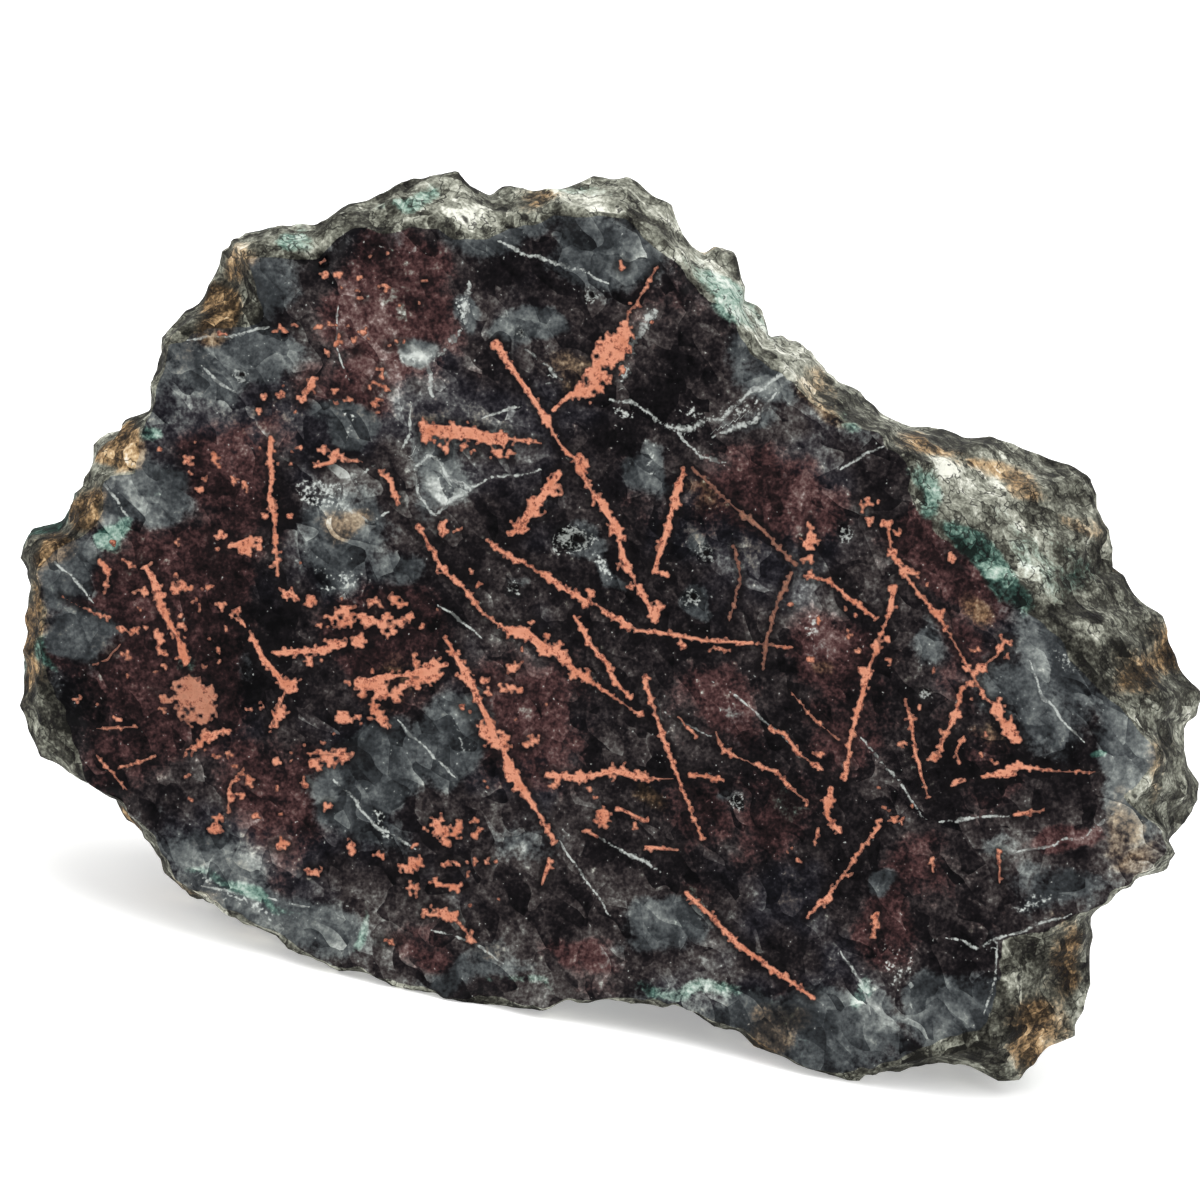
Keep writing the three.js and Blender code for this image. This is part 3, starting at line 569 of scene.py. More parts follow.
# Tone of each mineral ground from dark 0 to light 1, and how strongly each mineral shows.
darks = stained(stone_x, stone_y, SMOKY_DARKS)
paint(stone, "smoky_tone", 0.496 + 0.047 * clouds + 0.8 * facets - 0.060 * darks)
paint(stone, "cuprite_tone", 0.494 + 0.042 * clouds + 0.7 * facets + 0.05 * pale)
paint(stone, "grey_tone", 0.466 + 0.032 * clouds + 1.2 * facets + 0.07 * pale)
paint(stone, "crust_tone", 0.455 + 0.040 * clouds + 1.4 * facets + 0.06 * pale - 0.06 * darks)
paint(stone, "tint", shoals)
swing = np.stack([lumps(in_stone / 2.4 + shift) for shift in (11.0, 13.0, 17.0)], axis=1)
paint(stone, "bent_place", stone_points + MM * swing)
paint(stone, "cuprite", stained(stone_x, stone_y, CUPRITE_STAINS) + 0.20 * drift)
grey_breakup = 0.15 * shoals + 0.10 * shard + 0.06 * chunk
milky = stained(stone_x, stone_y, CHALCEDONY_CLOUDS) + 0.35 * near_rim
paint(stone, "chalcedony", milky + grey_breakup)
BACK_STAIN = 0.22
iron = stained(stone_x, stone_y, IRON_STAINS) * fading + on_back * (BACK_STAIN + 0.32 * weathering)
salts = stained(stone_x, stone_y, COPPER_SALTS) * fading + on_back * (BACK_STAIN - 0.34 * weathering)
paint(stone, "iron", iron + 0.17 * shoals)
paint(stone, "salts", salts + 0.17 * drift)
paint(stone, "rind", 1.0 - on_face)
paint(stone, "druse", np.maximum(np.r_[druse, np.zeros(RIND_POINTS + BACK_POINTS)],
                                 on_face * stained(stone_x, stone_y, DRUSY_PATCHES)))
# Painted shade on the deep middle of each hollow.
paint(stone, "painted_hollow_shade", np.r_[painted_hollow_shade, np.zeros(RIND_POINTS + BACK_POINTS)])

# Quartz veins on the sawn face: width in mm and route on the sheet.
QUARTZ_VEINS = [
    (0.45, [(40.1, 35.5), (42.6, 35.8), (44.4, 35), (46, 33.2)]),
    (0.4, [(42.6, 35.8), (43, 37.4), (43.4, 39.8)]),
    (0.25, [(49.8, 24.1), (54.6, 26), (57.8, 27.1), (60.8, 28.4)]),
    (0.4, [(46.8, 28.2), (47, 30.2), (46.6, 32.4)]),
    (0.3, [(61, 39.9), (64.2, 40.7), (67.5, 42.9), (72.3, 41.8), (76.6, 38.3), (80, 36.8)]),
    (0.25, [(71.2, 43.7), (75.5, 42.1), (77.6, 39.2)]), (0.2, [(67.5, 42.9), (70, 45.6), (72.6, 46.2)]),
    (0.26, [(41.4, 46.6), (43.2, 45.4), (45, 47.6), (47, 48.9), (45.2, 50.2), (43.6, 51.6)]),
    (0.2, [(46.8, 49), (48.7, 47.7), (51.4, 47.7), (54.1, 47)]),
    (0.2, [(37.8, 46.2), (35.4, 48.2), (34, 50.9)]),
    (0.2, [(33.3, 77.8), (34.9, 79.6), (38.4, 83.1), (41.6, 85)]),
    (0.16, [(39.7, 71.9), (43.2, 75.6), (45.6, 77.8)]),
    (0.18, [(85.8, 73.5), (89.5, 77.5), (92.2, 81.8)]), (0.22, [(93.8, 82.3), (97.8, 81.7), (101, 81.7)]),
    (0.2, [(101.6, 85.3), (108.3, 83.7), (111.5, 81.2)]),
    (0.2, [(94.6, 93.8), (97.8, 94.6), (101.3, 93.3), (107.2, 91.4)]),
    (0.16, [(43.7, 60.5), (46, 62), (48.3, 64)]), (0.5, [(62.1, 38), (63.4, 34.4), (65.5, 31)]),
    (0.22, [(60, 83.7), (64.1, 86.1), (66.7, 87.7)]),
    (0.2, [(52.5, 35), (55, 36.6), (56.2, 38), (54.6, 38.4)]),
    (0.16, [(48, 41.8), (50.2, 41.2), (52.4, 40.6)]),
    (0.2, [(27, 32.6), (24, 33.6), (21.4, 33.6), (18.6, 34)]),
    (0.18, [(20, 36.4), (22, 38.6), (23.6, 39.4)]),
    (0.2, [(34.4, 48.6), (35.2, 51), (36.8, 52.4), (39, 51.2)]),
    (0.18, [(41, 40.2), (41.2, 43.6), (39.4, 45.6)]), (0.18, [(41.5, 47.2), (42, 49.4), (43.4, 51.6)]),
    (0.18, [(84, 47), (86.6, 45.4), (88.4, 44.6)]), (0.16, [(103, 66), (104.4, 70), (108.6, 74.4)]),
    (0.16, [(20, 88.6), (26, 89.8), (31, 90.6)]), (0.16, [(43, 93), (47, 94), (50.4, 96.4)]),
    (0.16, [(84, 95), (86.4, 98.4), (87, 101.4)]), (0.16, [(56, 84), (58.6, 88), (61, 91.6)]),
    (0.16, [(66, 71), (69, 72.6), (72, 74)]), (0.14, [(71, 68), (75, 70.6), (79, 74.4)]),
    (0.14, [(33.8, 30.6), (33.6, 34.6), (35, 38.2)]), (0.16, [(10, 47.8), (12, 50.6), (13.4, 52.6)]),
    (0.16, [(5.2, 56), (7.2, 57.4), (9.6, 60.4)]), (0.18, [(99.8, 94.2), (99.4, 98), (98.4, 101.6)]),
]


def nearest_on_route(x, y, route):
    """Offset from each point to the nearest point of a broken line, and how far along the line that is."""
    best = np.full(x.shape, np.inf)
    offset = np.zeros(x.shape + (2,))
    share = np.zeros(x.shape)
    for index, ((ax, ay), (bx, by)) in enumerate(zip(route[:-1], route[1:])):
        ex, ey = bx - ax, by - ay
        t = np.clip(((x - ax) * ex + (y - ay) * ey) / (ex * ex + ey * ey), 0.0, 1.0)
        dx, dy = ax + t * ex - x, ay + t * ey - y
        away = dx * dx + dy * dy
        closer = away < best
        best = np.where(closer, away, best)
        offset[closer] = np.stack([dx, dy], axis=-1)[closer]
        share = np.where(closer, (index + t) / (len(route) - 1), share)
    return offset, share


FAR = 9.0
vein_offset = np.full((len(stone_x), 3), FAR)
vein_gap = np.full(len(stone_x), np.inf)
for width, route in QUARTZ_VEINS:
    offset, share = nearest_on_route(stone_x, stone_y, route)
    offset = offset / (width * (0.35 + 0.65 * np.sqrt(4.0 * share * (1.0 - share))))[:, None]
    gap = np.hypot(offset[:, 0], offset[:, 1])
    closer = gap < vein_gap
    vein_gap = np.where(closer, gap, vein_gap)
    vein_offset[closer, :2] = offset[closer]
    vein_offset[closer, 2] = 0.0
vein_near = smooth_step(-vein_gap, -FAR, -5.0) * (1.0 - on_back)
for axis, layer in ((0, 51.0), (1, 53.0)):
    vein_offset[:, axis] += 1.3 * flat_noise(stone_x, stone_y, 1.5, layer)
paint(stone, "vein_offset", np.where(vein_near[:, None] > 0, vein_offset, FAR))
paint(stone, "vein_near", vein_near)


def put(tree, kind, inputs, **settings):
    """Adds one shader node, sets its settings and fills each input with a value or a link."""
    node = tree.nodes.new(kind)
    for key, value in settings.items():
        setattr(node, key, value)
    for key, value in inputs.items():
        if isinstance(value, bpy.types.NodeSocket):
            tree.links.new(value, node.inputs[key])
        else:
            node.inputs[key].default_value = value
    return node


def painted(tree, name):
    """The number painted on the piece under a name."""
    return put(tree, "ShaderNodeAttribute", {}, attribute_name=name).outputs["Fac"]


def mottle(tree, size, detail, roughness, shift=0.0):
    """Cloudy noise in object space with spots about the given size in mm, drawn out along the depth."""
    place = put(tree, "ShaderNodeTexCoord", {}).outputs["Object"]
    moved = put(tree, "ShaderNodeMapping", {
        "Vector": place, "Location": (shift, shift, shift), "Rotation": (-FACE_LEAN, 0.0, 0.0),
        "Scale": (1.0, DEPTH_STRETCH, 1.0),
    }, vector_type="TEXTURE")
    return put(tree, "ShaderNodeTexNoise", {
        "Vector": moved.outputs["Vector"], "Scale": 1.0 / (size * MM),
        "Detail": detail, "Roughness": roughness,
    }).outputs["Fac"]


def sums(tree, operation, first, second):
    """One step of arithmetic on two numbers or links."""
    return put(tree, "ShaderNodeMath", {0: first, 1: second}, operation=operation).outputs[0]


def eased(tree, value, low, high, start=0.0, end=1.0):
    """Eases from start to end as the value goes from low to high."""
    return put(tree, "ShaderNodeMapRange", {
        "Value": value, "From Min": low, "From Max": high, "To Min": start, "To Max": end,
    }, interpolation_type="SMOOTHSTEP").outputs["Result"]


def layered(tree, share, under, over):
    """One colour laid over another by a share from 0 to 1."""
    mix = put(tree, "ShaderNodeMix", {0: share}, data_type="RGBA")
    for index, colour in ((6, under), (7, over)):
        if isinstance(colour, bpy.types.NodeSocket):
            tree.links.new(colour, mix.inputs[index])
        else:
            mix.inputs[index].default_value = (*colour, 1.0)
    return mix.outputs[2]


def ramp(tree, value, stops):
    """A colour that changes along a value through the given stops: (value, colour)."""
    node = tree.nodes.new("ShaderNodeValToRGB")
    while len(node.color_ramp.elements) < len(stops):
        node.color_ramp.elements.new(1.0)
    for element, (position, colour) in zip(node.color_ramp.elements, stops):
        element.position = position
        element.color = (*colour, 1.0)
    tree.links.new(value, node.inputs["Fac"])
    return node.outputs["Color"]


def blend(tree, *parts):
    """A weighted sum: pairs of a weight and a value."""
    total = None
    for weight, value in parts:
        part = sums(tree, "MULTIPLY", value, weight)
        total = part if total is None else sums(tree, "ADD", total, part)
    return total


SMOKY_RAMP = [
    (0.28, (0.001, 0.0009, 0.0012)), (0.42, (0.0046, 0.0037, 0.0045)), (0.5, (0.0145, 0.0114, 0.0122)),
    (0.58, (0.036, 0.0295, 0.029)), (0.68, (0.1, 0.095, 0.09)), (0.8, (0.3, 0.31, 0.29)),
]
INDIGO_RAMP = [
    (0.28, (0.0012, 0.0013, 0.0022)), (0.42, (0.004, 0.0044, 0.0068)), (0.5, (0.0115, 0.012, 0.017)),
    (0.58, (0.028, 0.029, 0.036)), (0.68, (0.085, 0.09, 0.096)), (0.8, (0.28, 0.3, 0.3)),
]
CUPRITE_RAMP = [
    (0.28, (0.0022, 0.0017, 0.0019)), (0.42, (0.011, 0.0058, 0.0063)), (0.5, (0.0295, 0.0136, 0.014)),
    (0.58, (0.063, 0.0292, 0.0285)), (0.68, (0.13, 0.083, 0.077)), (0.8, (0.33, 0.26, 0.245)),
]
CHALCEDONY_RAMP = [
    (0.28, (0.006, 0.0066, 0.0074)), (0.42, (0.026, 0.0295, 0.032)), (0.5, (0.06, 0.0665, 0.069)),
    (0.58, (0.115, 0.126, 0.124)), (0.68, (0.25, 0.27, 0.255)), (0.8, (0.55, 0.57, 0.54)),
]
RIND_RAMP = [
    (0.28, (0.0075, 0.0072, 0.0058)), (0.4, (0.04, 0.039, 0.031)), (0.48, (0.1, 0.101, 0.081)),
    (0.55, (0.183, 0.187, 0.151)), (0.65, (0.345, 0.35, 0.291)), (0.78, (0.69, 0.69, 0.61)),
]
IRON_RAMP = [
    (0.28, (0.006, 0.0042, 0.0028)), (0.42, (0.042, 0.026, 0.013)), (0.5, (0.14, 0.085, 0.039)),
    (0.58, (0.31, 0.19, 0.088)), (0.7, (0.57, 0.4, 0.215)), (0.8, (0.72, 0.65, 0.54)),
]
SALT_RAMP = [
    (0.28, (0.004, 0.009, 0.0075)), (0.42, (0.022, 0.058, 0.047)), (0.5, (0.068, 0.135, 0.11)),
    (0.6, (0.21, 0.32, 0.265)), (0.72, (0.45, 0.53, 0.475)), (0.8, (0.6, 0.65, 0.6)),
]
QUARTZ_WHITE = (0.5200, 0.5500, 0.5200)
# Near-black for the painted shade in the hollows, the rind's cracks and pits and the rim round the copper.
SHADE_AND_MARK_BLACK = (0.0045, 0.0036, 0.0040)


FLECK_SIZE = 1.2
GRIT_SIZE = 0.36
SPLINTER_SIZE = 1.7
SPLINTER_SLANT = math.radians(40)
CRACK_SPACING = 3.2
STONE_SPECULAR = 0.06


def splinters(tree, size):
    """Angular splinters, twice as long as wide along a slant: a random number, a slope and a distance.
    They are cells round scattered points, on places bent by a slow noise so that no border is straight."""
    bent = put(tree, "ShaderNodeAttribute", {}, attribute_name="bent_place").outputs["Vector"]
    drawn = put(tree, "ShaderNodeMapping", {
        "Vector": bent, "Rotation": (0.0, SPLINTER_SLANT, 0.0), "Scale": (2.0, 1.5, 1.0),
    }, vector_type="TEXTURE").outputs["Vector"]
    cell = put(tree, "ShaderNodeTexVoronoi", {"Vector": drawn, "Scale": 1.0 / (size * MM)}, feature="F1")
    chance = put(tree, "ShaderNodeSeparateXYZ", {0: cell.outputs["Color"]}).outputs[0]
    vectors = "ShaderNodeVectorMath"
    lean = put(tree, vectors, {0: cell.outputs["Color"], 1: (0.5, 0.5, 0.5)}, operation="SUBTRACT")
    away = put(tree, vectors, {0: drawn, 1: cell.outputs["Position"]}, operation="SUBTRACT")
    slope = put(tree, vectors, {0: lean.outputs[0], 1: away.outputs[0]}, operation="DOT_PRODUCT")
    slope = sums(tree, "MULTIPLY", slope.outputs["Value"], 1.0 / (size * MM))
    return chance, slope, cell.outputs["Distance"]


def stone_material(name, is_rind):
    """Chalcedony with its stains and veins, smooth where it is sawn; the rind is cracked and bumpy."""
    material = bpy.data.materials.new(name)
    material.use_nodes = True
    tree = material.node_tree
    shader = tree.nodes["Principled BSDF"]
    fleck = mottle(tree, FLECK_SIZE, 3.0, 0.62, 0.53)
    grit = mottle(tree, GRIT_SIZE, 1.5, 0.60, 0.71)
    bit, tilt, bit_gap = splinters(tree, SPLINTER_SIZE)
    breakup = blend(tree, (0.9, fleck), (0.45, grit), (0.20, bit))

    def ground(tone, of_fleck, of_grit, of_bit, of_tilt, level):
        """A painted tone with its own mix of flecks, grit and splinters, less the mix's usual level."""
        mixed = blend(tree, (1.0, painted(tree, tone)), (of_fleck, fleck), (of_grit, grit), (of_bit, bit),
                      (of_tilt, tilt))
        return sums(tree, "SUBTRACT", mixed, level)

    def cover(stain, start, end, most=1.0):
        """How much a stain covers: its painted strength and the break-up, eased between two levels."""
        return eased(tree, sums(tree, "ADD", painted(tree, stain), breakup), start, end, 0.0, most)

    # Three mineral grounds: smoky black with an indigo tint, cuprite red and chalcedony grey.
    smoky = ground("smoky_tone", 0.40, 0.34, 0.13, 0.20, 0.425)
    cuprite = ground("cuprite_tone", 0.48, 0.40, 0.10, 0.16, 0.493)
    grey = ground("grey_tone", 0.30, 0.22, 0.11, 0.20, 0.315)
    indigo_share = eased(tree, painted(tree, "tint"), 0.0, 1.5, 0.0, 0.6)
    colour = layered(tree, indigo_share, ramp(tree, smoky, SMOKY_RAMP), ramp(tree, smoky, INDIGO_RAMP))
    colour = layered(tree, cover("cuprite", 1.05, 1.50), colour, ramp(tree, cuprite, CUPRITE_RAMP))
    colour = layered(tree, cover("chalcedony", 1.12, 1.60), colour, ramp(tree, grey, CHALCEDONY_RAMP))

    # Quartz veins: distance to the vein in its own widths, frayed by noise and fading along it.
    offset = put(tree, "ShaderNodeAttribute", {}, attribute_name="vein_offset").outputs["Vector"]
    gap = put(tree, "ShaderNodeVectorMath", {0: offset}, operation="LENGTH").outputs["Value"]
    gap = blend(tree, (1.0, gap), (2.6, fleck), (2.6, grit))
    vein = sums(tree, "MULTIPLY", eased(tree, gap, 2.8, 3.7, 1.0, 0.0), painted(tree, "vein_near"))
    vein = sums(tree, "MULTIPLY", vein, eased(tree, fleck, 0.36, 0.52, 0.15, 0.7))
    colour = layered(tree, vein, colour, QUARTZ_WHITE)

    # Hollows and drusy skins: bright crystals, and painted shade on the floor where the hollow is deep.
    druse = painted(tree, "druse")
    crystals = blend(tree, (0.55, druse), (1.5, grit), (1.0, fleck))
    crystals = eased(tree, crystals, 1.56, 1.92, 0.0, 0.8)
    crystals = sums(tree, "MULTIPLY", crystals, eased(tree, druse, 0.05, 0.30))
    colour = layered(tree, crystals, colour, QUARTZ_WHITE)
    hollow_shade_share = blend(tree, (1.0, painted(tree, "painted_hollow_shade")), (1.5, fleck), (0.8, grit))
    colour = layered(tree, eased(tree, hollow_shade_share, 1.55, 1.85), colour, SHADE_AND_MARK_BLACK)

    # Fine white specks at the peaks of the grit, and the black seam along the copper.
    colour = layered(tree, eased(tree, grit, 0.72, 0.80, 0.0, 0.5), colour, QUARTZ_WHITE)
    colour = layered(tree, painted(tree, "copper_dark_rim"), colour, SHADE_AND_MARK_BLACK)

    # The rind: broken bits, paler where it is weathered and, on the upper bevel, painted paler as light
    # falling on it, stained tan by iron and green by copper salts.
    crust = ground("crust_tone", 0.42, 0.40, 0.14, 0.24, 0.472)
    rind_here = blend(tree, (1.0, painted(tree, "rind")), (1.3, fleck), (0.5, grit), (0.2, bit))
    rind_here = eased(tree, rind_here, 1.25, 1.70)
    colour = layered(tree, rind_here, colour, ramp(tree, crust, RIND_RAMP))
    iron_share = cover("iron", 1.15, 1.95, 0.9)
    iron_share = sums(tree, "MULTIPLY", iron_share, eased(tree, rind_here, 0.0, 1.0, 0.5, 1.0))
    colour = layered(tree, iron_share, colour, ramp(tree, crust, IRON_RAMP))
    colour = layered(tree, cover("salts", 1.25, 1.80, 0.85), colour, ramp(tree, crust, SALT_RAMP))

    # The rind alone has dark cracks where a noise passes its middle, dark pits and bumps.
    if is_rind:
        crack = sums(tree, "SUBTRACT", mottle(tree, CRACK_SPACING, 3.0, 0.6, 0.93), 0.5)
        crack = put(tree, "ShaderNodeMath", {0: crack}, operation="ABSOLUTE").outputs[0]
        crack = eased(tree, crack, 0.006, 0.024, 0.85, 0.0)
        crack = sums(tree, "MULTIPLY", crack, eased(tree, grit, 0.32, 0.52))
        pit = eased(tree, bit_gap, 0.12, 0.28, 0.85, 0.0)
        pit = sums(tree, "MULTIPLY", pit, eased(tree, bit, 0.78, 0.82))
        for mark in (crack, pit):
            colour = layered(tree, sums(tree, "MULTIPLY", mark, rind_here), colour, SHADE_AND_MARK_BLACK)
        height = blend(tree, (0.5, fleck), (0.3, grit))
        bump = put(tree, "ShaderNodeBump", {"Height": height, "Strength": 0.55, "Distance": 0.0008})
        tree.links.new(bump.outputs["Normal"], shader.inputs["Normal"])
    tree.links.new(colour, shader.inputs["Base Color"])
    grain, smoothest, roughest = (grit, 0.70, 0.80) if is_rind else (fleck, 0.36, 0.48)
    tree.links.new(eased(tree, grain, 0.3, 0.7, smoothest, roughest), shader.inputs["Roughness"])
    shader.inputs["Specular IOR Level"].default_value = STONE_SPECULAR
    return material


stone.data.materials.append(stone_material("sawn_chalcedony", False))
stone.data.materials.append(stone_material("broken_rind", True))
face_triangles = len(ring_disc_faces(FACE_RINGS))
is_rind_triangle = np.arange(len(stone_faces)) >= face_triangles
stone.data.polygons.foreach_set("material_index", is_rind_triangle.astype(np.int32))
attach(stone, "root")
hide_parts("stone")

# The copper
# Native copper grew as thin blades and grains in the stone, and the saw cut through them edge on.
# What shows on the sawn face is their cut edges: ragged lines, combs and crumbs, a hair proud of the stone.
# They are grown in, so each goes on a little way below the face.

# Blades: width in mm, raggedness from 0 to 1, and route on the sheet.
COPPER_BLADES = [
    (0.85, 0.6, [(49.6, 34.3), (51.7, 37.6), (53.9, 40.7), (54.7, 41.9), (55.8, 44.2), (57.9, 46.3),
        (58.8, 48.6), (60.2, 50.4), (61.7, 53), (62.4, 55.8), (63.5, 58.3), (64.5, 59.9), (65.5, 61.9)]),
    (1.7, 1, [(42.6, 42.9), (47, 43.3), (50.2, 43.9)]),
    (0.5, 0.4, [(50, 43.8), (52.3, 44), (54.1, 44.3)]),
    (1.1, 1, [(51.2, 53.5), (53.3, 50.9), (55.9, 47.4)]),
    (0.55, 0.5, [(55.3, 41), (56.8, 39.7), (58, 38.8)]),
    (0.35, 0.6, [(62.3, 33.2), (63, 31), (63.7, 30.3), (65.6, 26.8)]),
    (0.75, 0.6, [(68.4, 46.8), (67.5, 49.9), (66.7, 53), (65.4, 57.1)]),
    (0.7, 0.7, [(48.6, 53.9), (50.2, 55.2), (51.7, 55.9), (54.3, 57.4), (56.8, 59.1), (58.6, 60.1),
        (60.2, 60.8), (62.9, 62.7)]),
    (0.7, 0.6, [(57.4, 61.6), (58.9, 64.2), (60.4, 66), (61.7, 68.3), (63, 69.8)]),
    (0.65, 0.6, [(63.5, 63), (67, 63.4), (70.6, 64.1), (75.2, 64.3)]),
    (0.3, 0.3, [(75, 64.3), (79.3, 64.8)]),
    (0.62, 0.7, [(41.7, 52.6), (43.3, 55), (44.2, 56.8), (45.1, 57.7), (46.9, 59.3), (48.4, 61.4),
        (50.2, 62.7)]),
    (1.4, 0.9, [(51, 63.1), (52.6, 63.2), (54.4, 64.9), (56, 65.4), (57.4, 67), (58.6, 67.8)]),
    (0.45, 0.5, [(58.6, 67.8), (61.7, 69.9), (64, 71.5)]),
    (0.45, 0.8, [(88.7, 52.2), (89.2, 55.3), (90.3, 57.1)]),
    (0.45, 0.5, [(90.2, 57), (92.3, 59.9), (93.8, 61.4), (95.4, 64.2), (96.8, 66.7), (98.4, 69.6),
        (99.7, 70.8)]), (1.6, 0.6, [(99.7, 70.9), (100.7, 72.9), (101.7, 74)]),
    (0.6, 0.5, [(89.4, 58.9), (88.9, 61.4), (87.7, 64.5), (86.7, 67.5), (85.7, 71.3), (84.9, 74.7),
        (84.5, 77.7)]), (0.5, 0.4, [(80.7, 57.6), (82.9, 58.1), (84.6, 59.6), (87.6, 61.9)]),
    (0.55, 0.6, [(90.6, 70.1), (91.1, 72.1), (91.5, 75.2), (92.8, 79.8)]),
    (0.75, 0.9, [(96.2, 68.8), (95.6, 71.3), (94.3, 73.9), (93.8, 75.9)]),
    (0.55, 0.9, [(96.2, 74), (95.6, 75.2), (95.9, 76.3)]), (0.5, 0.8, [(95.1, 78.6), (96.4, 78)]),
    (0.6, 0.7, [(98.2, 77.6), (101.5, 77.5)]), (0.7, 0.6, [(100.7, 76.7), (102.5, 76.7), (105, 77.1)]),
    (0.28, 0.2, [(105, 77.1), (109.6, 77.2)]), (0.55, 0.8, [(101.5, 81.5), (104.3, 81)]),
    (0.5, 0.9, [(98.3, 66.6), (99.7, 65.5), (100.5, 63.9)]),
    (0.55, 0.5, [(64.4, 68), (65.1, 70), (66.2, 73.5), (67.3, 76.4), (68.6, 79.9), (70.2, 83.9)]),
    (0.45, 0.6, [(67.8, 71.7), (69.7, 73.7)]),
    (0.5, 0.7, [(71.6, 73.2), (72.4, 75.1), (74.8, 76.2), (77.5, 77.1), (79.1, 78.8), (80.8, 80.3)]),
    (0.5, 0.5, [(76.9, 72.8), (78.5, 73.5), (80.1, 75.6), (82.3, 77)]),
    (0.3, 0.3, [(79, 69), (81, 71.5), (83.8, 74)]),
    (0.8, 0.8, [(54.7, 77.5), (58.2, 77.8), (61.4, 77.1), (64.6, 77.8)]),
    (0.35, 0.5, [(64.6, 77.8), (67.3, 77.9)]), (0.5, 0.7, [(68.9, 77.4), (72.2, 78)]),
    (0.6, 0.8, [(61.7, 80.7), (64.6, 82.1)]), (0.5, 0.8, [(58.4, 83.1), (59.8, 83.7)]),
    (0.5, 0.7, [(64.6, 84.7), (67.8, 85)]),
    (0.75, 0.6, [(68.6, 89.3), (71.3, 91.7), (73.7, 94.4), (77.5, 97.1), (81.2, 99.7)]),
    (0.6, 0.6, [(87.9, 82.6), (86.3, 84.7), (85, 86.6), (82.8, 89.6), (80.7, 91.7)]),
    (0.9, 0.9, [(83.1, 78.8), (82.6, 81.5), (83.9, 83.1)]), (0.6, 0.9, [(81.8, 82.9), (81.5, 84.5)]),
    (0.6, 0.8, [(87.6, 91.4), (87.4, 93.6)]), (0.45, 0.5, [(99.9, 85), (100, 88.3)]),
    (0.35, 0.6, [(93.2, 85.8), (93.3, 87.2)]),
    (1.05, 0.9, [(44.6, 64), (46.1, 66.5), (47.4, 69), (48.4, 71.2), (49.8, 73.9), (51.1, 76.9),
        (52.5, 79.3), (54.1, 81.7), (55.4, 84.4)]), (0.55, 0.8, [(55, 86), (54.2, 88.5)]),
    (1.3, 1, [(35.9, 68.3), (38, 67.8), (40.7, 67.5), (44.7, 66.4)]),
    (0.5, 0.9, [(9.9, 56), (10.8, 57.5), (10.5, 59.3)]), (0.45, 0.9, [(12.2, 55.8), (13.2, 56.7)]),
    (1.1, 0.9, [(14.6, 56.7), (15.5, 58.3), (16, 59.9), (16.7, 61.9), (17.8, 63.9), (18.6, 66.2)]),
    (0.4, 0.9, [(12, 62.7), (13.2, 63.4), (14, 62.8)]),
    (0.35, 0.6, [(12, 64.4), (10.7, 66), (9.4, 66.4)]),
    (0.25, 0.3, [(6.1, 59.6), (8.5, 60.9), (10.9, 61.9)]),
    (0.75, 0.9, [(27.1, 43.8), (27, 46.3), (27.2, 47.9), (26.9, 49.4), (27.4, 51.7), (27.5, 53.5),
        (27.6, 55.5), (27.8, 57.2)]), (0.7, 1, [(22.9, 54.7), (24.7, 54), (26, 54.1)]),
    (0.55, 0.8, [(31.6, 46.6), (33.1, 46.3), (33.5, 45.4), (34.6, 45.9)]),
    (0.3, 0.3, [(34.6, 45.9), (36.3, 46.2)]), (0.8, 1, [(31.3, 37.9), (30.6, 39.4), (30.2, 40.1)]),
    (0.35, 0.6, [(37.2, 38.2), (39.2, 39.1)]),
    (0.7, 0.9, [(38.1, 47.4), (39, 47.9), (39.4, 49.4), (40, 50.4)]),
    (0.5, 0.9, [(29.2, 58.8), (29.5, 60.1)]), (0.7, 0.7, [(27.6, 65.3), (32.1, 65), (34.4, 64.4)]),
    (0.5, 0.9, [(30.4, 65.2), (31.1, 66.7)]), (0.5, 0.9, [(23.9, 61.8), (24.5, 62.7)]),
    (0.9, 0.9, [(25.1, 63.4), (26.2, 65.7), (27.5, 67.2), (28.7, 68.8), (27.9, 70.7), (27.1, 72.6)]),
    (0.35, 0.5, [(9.6, 72.9), (13.7, 72.7)]), (0.35, 0.5, [(11.8, 76.9), (15.5, 75.7)]),
    (0.25, 0.3, [(9.6, 75.5), (12.7, 79)]), (0.55, 0.9, [(18.7, 75), (22.2, 73.1)]),
    (0.4, 0.9, [(22.8, 81.4), (23, 78.5), (24.4, 76.9)]), (0.6, 0.9, [(30.8, 75.3), (35.1, 75.4)]),
    (0.5, 0.9, [(37.8, 71.5), (38.8, 72.9)]), (0.6, 0.9, [(43.7, 88.5), (46.2, 88.5)]),
    (0.6, 0.9, [(42.4, 91.4), (45.4, 91.6), (47, 93.8)]),
]
# Blades skinned over with brown oxide.
BROWN_BLADES = [
    (0.55, 0.4, [(69.3, 46.8), (72.6, 50), (76.3, 53), (79.5, 56.5)]),
    (0.5, 0.5, [(79.2, 57.3), (77.8, 60.1), (76.7, 63.9), (76.2, 67)]),
    (0.3, 0.3, [(73.4, 54.5), (74.1, 57.8), (72.9, 62.1)]),
]
